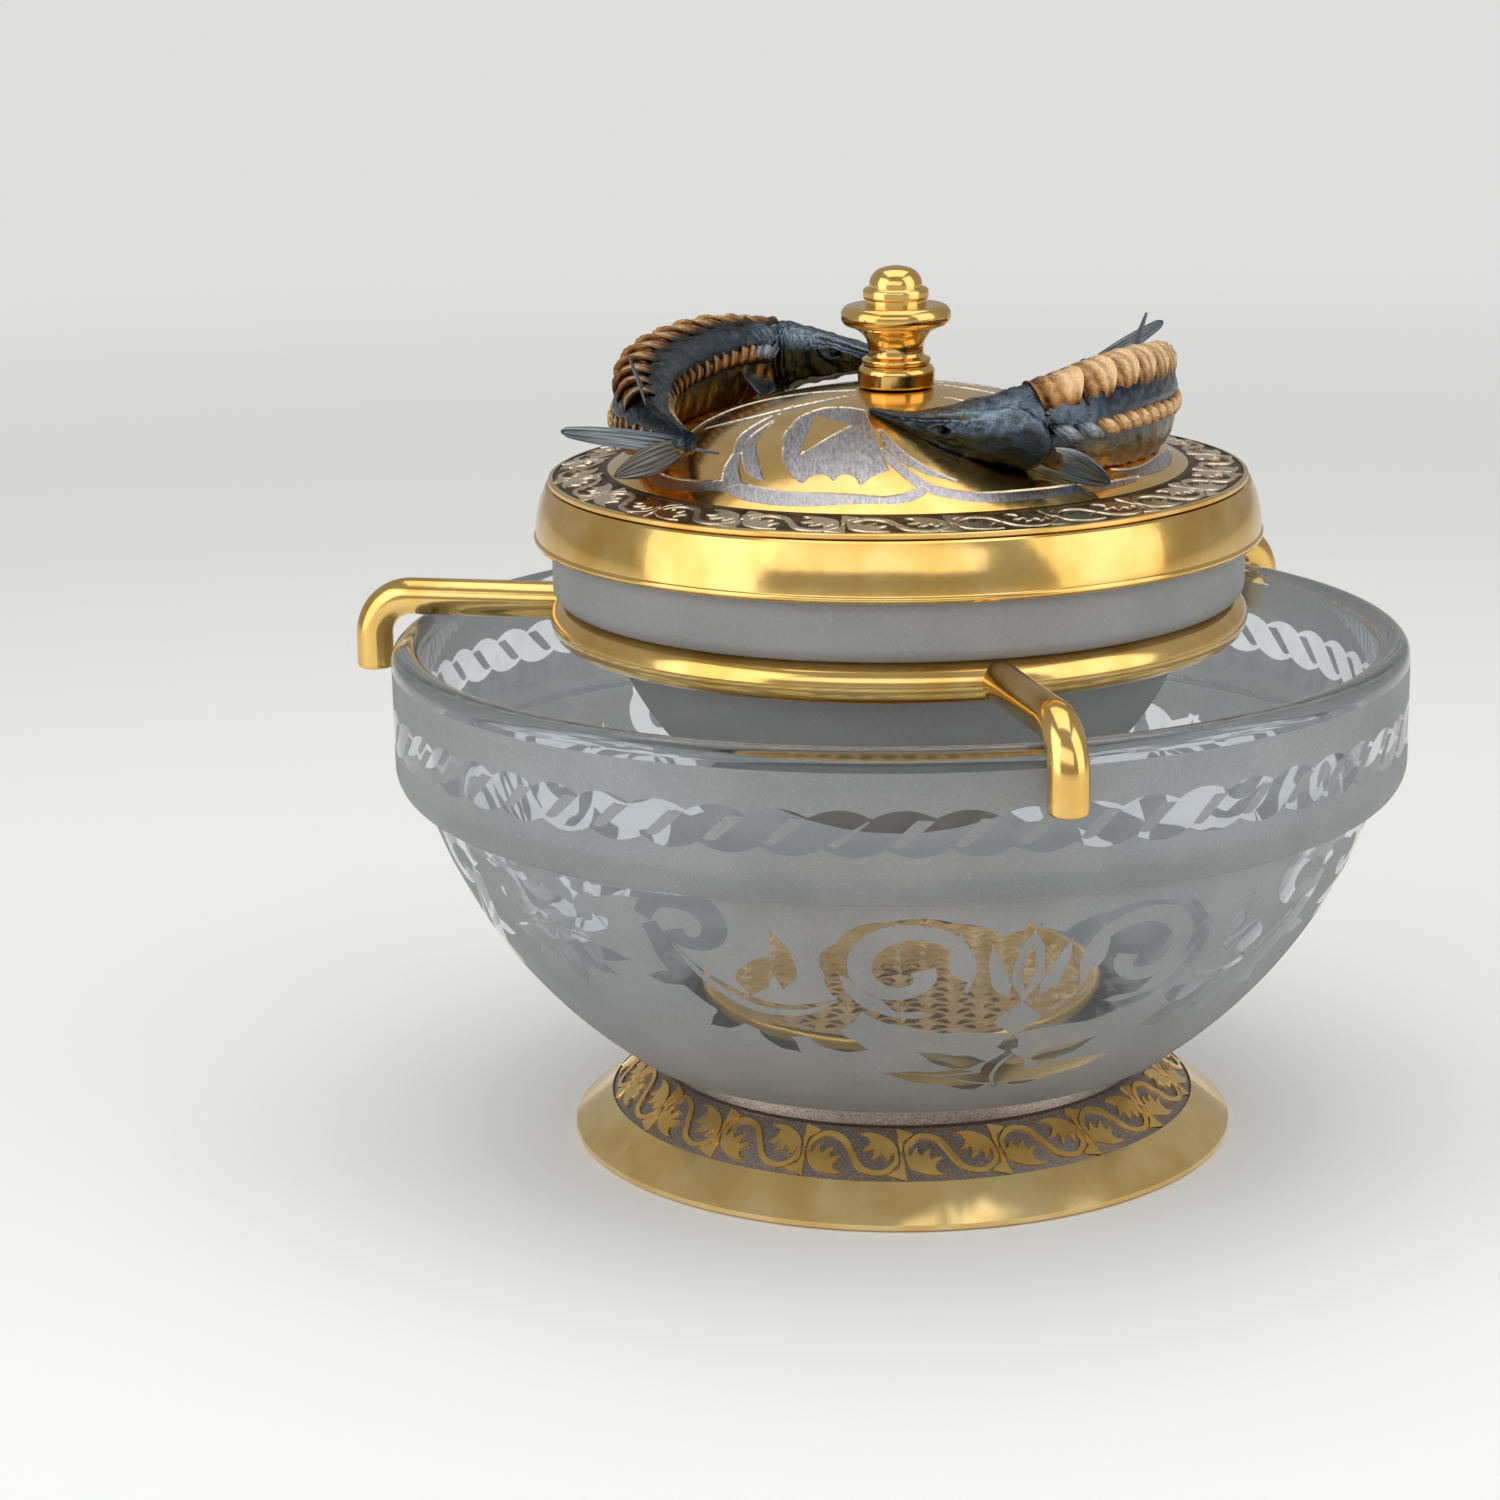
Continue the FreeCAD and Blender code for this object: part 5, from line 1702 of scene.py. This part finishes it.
# Gilded plates: painted shade in the hollows and a painted highlight on the crests
plate_gold = plate_blackening_and_painted_shade("matte_plate_gilding", "#3A2816", "#A87848", "#F1CB9B")
plate_silver = plate_blackening_and_painted_shade("brushed_plate_silver", "#23282D", "#66707A", "#A3ADB6")
set_on_points = plate_tree()
motif = plate_motif("back_plate", **BACK_PLATE)
set_plates("back_plates", motif, plate_gold, "gilt", back_places)
bpy.data.objects.remove(motif)
for flank, hand in (("outer", 1), ("inner", -1)):
    motif = plate_motif(flank + "_plate", slant=SIDE_SLANT * hand, **SIDE_PLATE)
    gilded, plain = (hand, SILVER_PLATES, SIDE_PLATES), (hand, 0, SILVER_PLATES)
    set_plates(flank + "_side_plates", motif, plate_gold, "gilt", side_places, *gilded)
    set_plates(flank + "_silver_plates", motif, plate_silver, "blackened_silver", side_places, *plain)
    bpy.data.objects.remove(motif)

# %% [markdown]
# The clamp plate is stamped from brass with a star pattern, so that it glitters through the clear parts
# of the bowl, and its rim is turned bright. The pattern is the crossing of three sets of grooves.

# %% Clamp plate
CLAMP_RADIUS = 32.75
CLAMP_LOW_Z = 22.0
CLAMP_TOP_Z = 24.2
CLAMP_LIP = 2.4
CLAMP_DISH = 0.5
CLAMP_SOCKET = (6.1, 23.1)
CLAMP_ROUND = 0.9
CLAMP_BREAK = 0.3
CLAMP_TURNS = 256
STAR_PITCH = 4.2
STAR_DEPTH = 0.55
STAR_EDGE = 0.5
STAR_MESH = 0.36
STAR_TURNS = [0, math.pi / 3, math.tau / 3]


def star(x, y):
    """Height of the stamped pattern, 0 to 1."""
    across = [(x * math.cos(turn) + y * math.sin(turn)) / STAR_PITCH for turn in STAR_TURNS]
    return min(abs(math.sin(math.pi * distance)) for distance in across)


def make_clamp_plate():
    flat_radius = CLAMP_RADIUS - CLAMP_LIP - CLAMP_DISH
    floor_z = CLAMP_TOP_Z - CLAMP_DISH
    round_z = CLAMP_TOP_Z - CLAMP_ROUND
    socket_radius, socket_z = CLAMP_SOCKET
    profile = [(0.3, socket_z), (socket_radius, socket_z), (socket_radius, CLAMP_LOW_Z)]
    profile += [(CLAMP_RADIUS - CLAMP_BREAK, CLAMP_LOW_Z), (CLAMP_RADIUS, CLAMP_LOW_Z + CLAMP_BREAK)]
    profile += arc((CLAMP_RADIUS - CLAMP_ROUND, round_z), CLAMP_ROUND, 0, 90, 8)
    profile += arc((CLAMP_RADIUS - CLAMP_LIP + CLAMP_ROUND, round_z), CLAMP_ROUND, 90, 125, 4)
    profile += [(radius, floor_z) for radius in steps_between(flat_radius, 0.35, -STAR_MESH)]
    rings = []
    for radius, height in profile:
        stamped = height == floor_z and radius < flat_radius - STAR_EDGE
        ring = []
        for index in range(CLAMP_TURNS):
            turn = math.tau * index / CLAMP_TURNS
            x, y = radius * math.cos(turn), radius * math.sin(turn)
            ring.append(Vector((x, y, height - (STAR_DEPTH * (1 - star(x, y)) if stamped else 0.0))))
        rings.append(ring)
    points, faces = skin(rings)
    stamped_gold = gilding("stamped_gilding", 0.12, "#EDBC66", "#D8A347")
    piece = make_mesh("clamp_plate_stamped", points, outward(points, faces), [stamped_gold])
    crease(piece, 35)
    finish_piece(piece, ["clamp_plate"])


make_clamp_plate()

# %% [markdown]
# The solids of the frame that are finished as they are get their materials here: the foot is gilded, with
# a bitten band under its scrolls, screws, nut and washers are stainless steel, and the gaskets are
# silicone.

# %% Finishes of the other solids


def foot_gilding():
    """Gilding on the skirt, painted lighter than the gold elsewhere to make up for the grey bowl that it
    mirrors, and bitten matte grey inside it, under the scrolls and on the neck.
    """
    material, tree, shader = new_material("gilded_foot", {"Metallic": 1.0})
    flat = {0: object_place(tree), 1: (1, 1, 0)}
    flat = add(tree, "ShaderNodeVectorMath", flat, operation="MULTIPLY").outputs[0]
    radius = add(tree, "ShaderNodeVectorMath", {0: flat}, operation="LENGTH").outputs["Value"]
    inside = calculate(tree, "GREATER_THAN", FOOT_BAND_OUT[0] * MM, radius)
    # Painted light: the skirt's gold is a lighter copy of the gilding, to make up for the grey bowl it
    # mirrors
    bright = ramp(tree, noise_field(tree, 9.0, 3.0), [(0.35, "#F0C87E"), (0.6, "#FBDC9A")])
    bitten = ramp(tree, noise_field(tree, 0.25, 3.0, 0.7), [(0.3, "#5F544C"), (0.65, "#B3A59B")])
    wire(tree, shader, mix(tree, inside, bright, bitten), spread(tree, inside, 0.17, 0.4))
    return material


def steel():
    """Stainless steel, turned on the lathe: fine rings from the tool."""
    material, tree, shader = new_material("turned_steel", {"Metallic": 1.0})
    rings = noise_field(tree, 0.3, 2.0, 0.6, stretch=(0.2, 0.2, 3))
    colour = ramp(tree, rings, [(0.3, "#9EA1A3"), (0.7, "#C6C8C9")])
    wire(tree, shader, colour, spread(tree, rings, 0.2, 0.4))
    return material


def silicone():
    """Moulded silicone rubber, milky and slightly dusty."""
    material, tree, shader = new_material("moulded_silicone", {"Roughness": 0.6, "IOR": 1.41})
    dust = noise_field(tree, 1.2, 3.0)
    wire(tree, shader, ramp(tree, dust, [(0.35, "#C9C9C4"), (0.65, "#DCDCD8")]), height=dust, depth_mm=0.03)
    return material


FINISHES = [
    (foot_gilding(), ["foot"]),
    (gold, ["support_ring", "hook_arm_front", "hook_arm_right", "hook_arm_left", "lid_rim", "knob"]),
    (frosted_dish, ["inner_dish"]),
    (steel(), ["clamp_stud", "foot_nut", "foot_washer", "knob_screw", "knob_washer", "sturgeon_screws"]),
    (silicone(), ["upper_gasket", "lower_gasket"]),
]
for finish, nodes in FINISHES:
    for node in nodes:
        mesh = bpy.data.objects[node].data
        mesh.materials.clear()
        mesh.materials.append(finish)
    print(finish.name, "on", ", ".join(nodes))
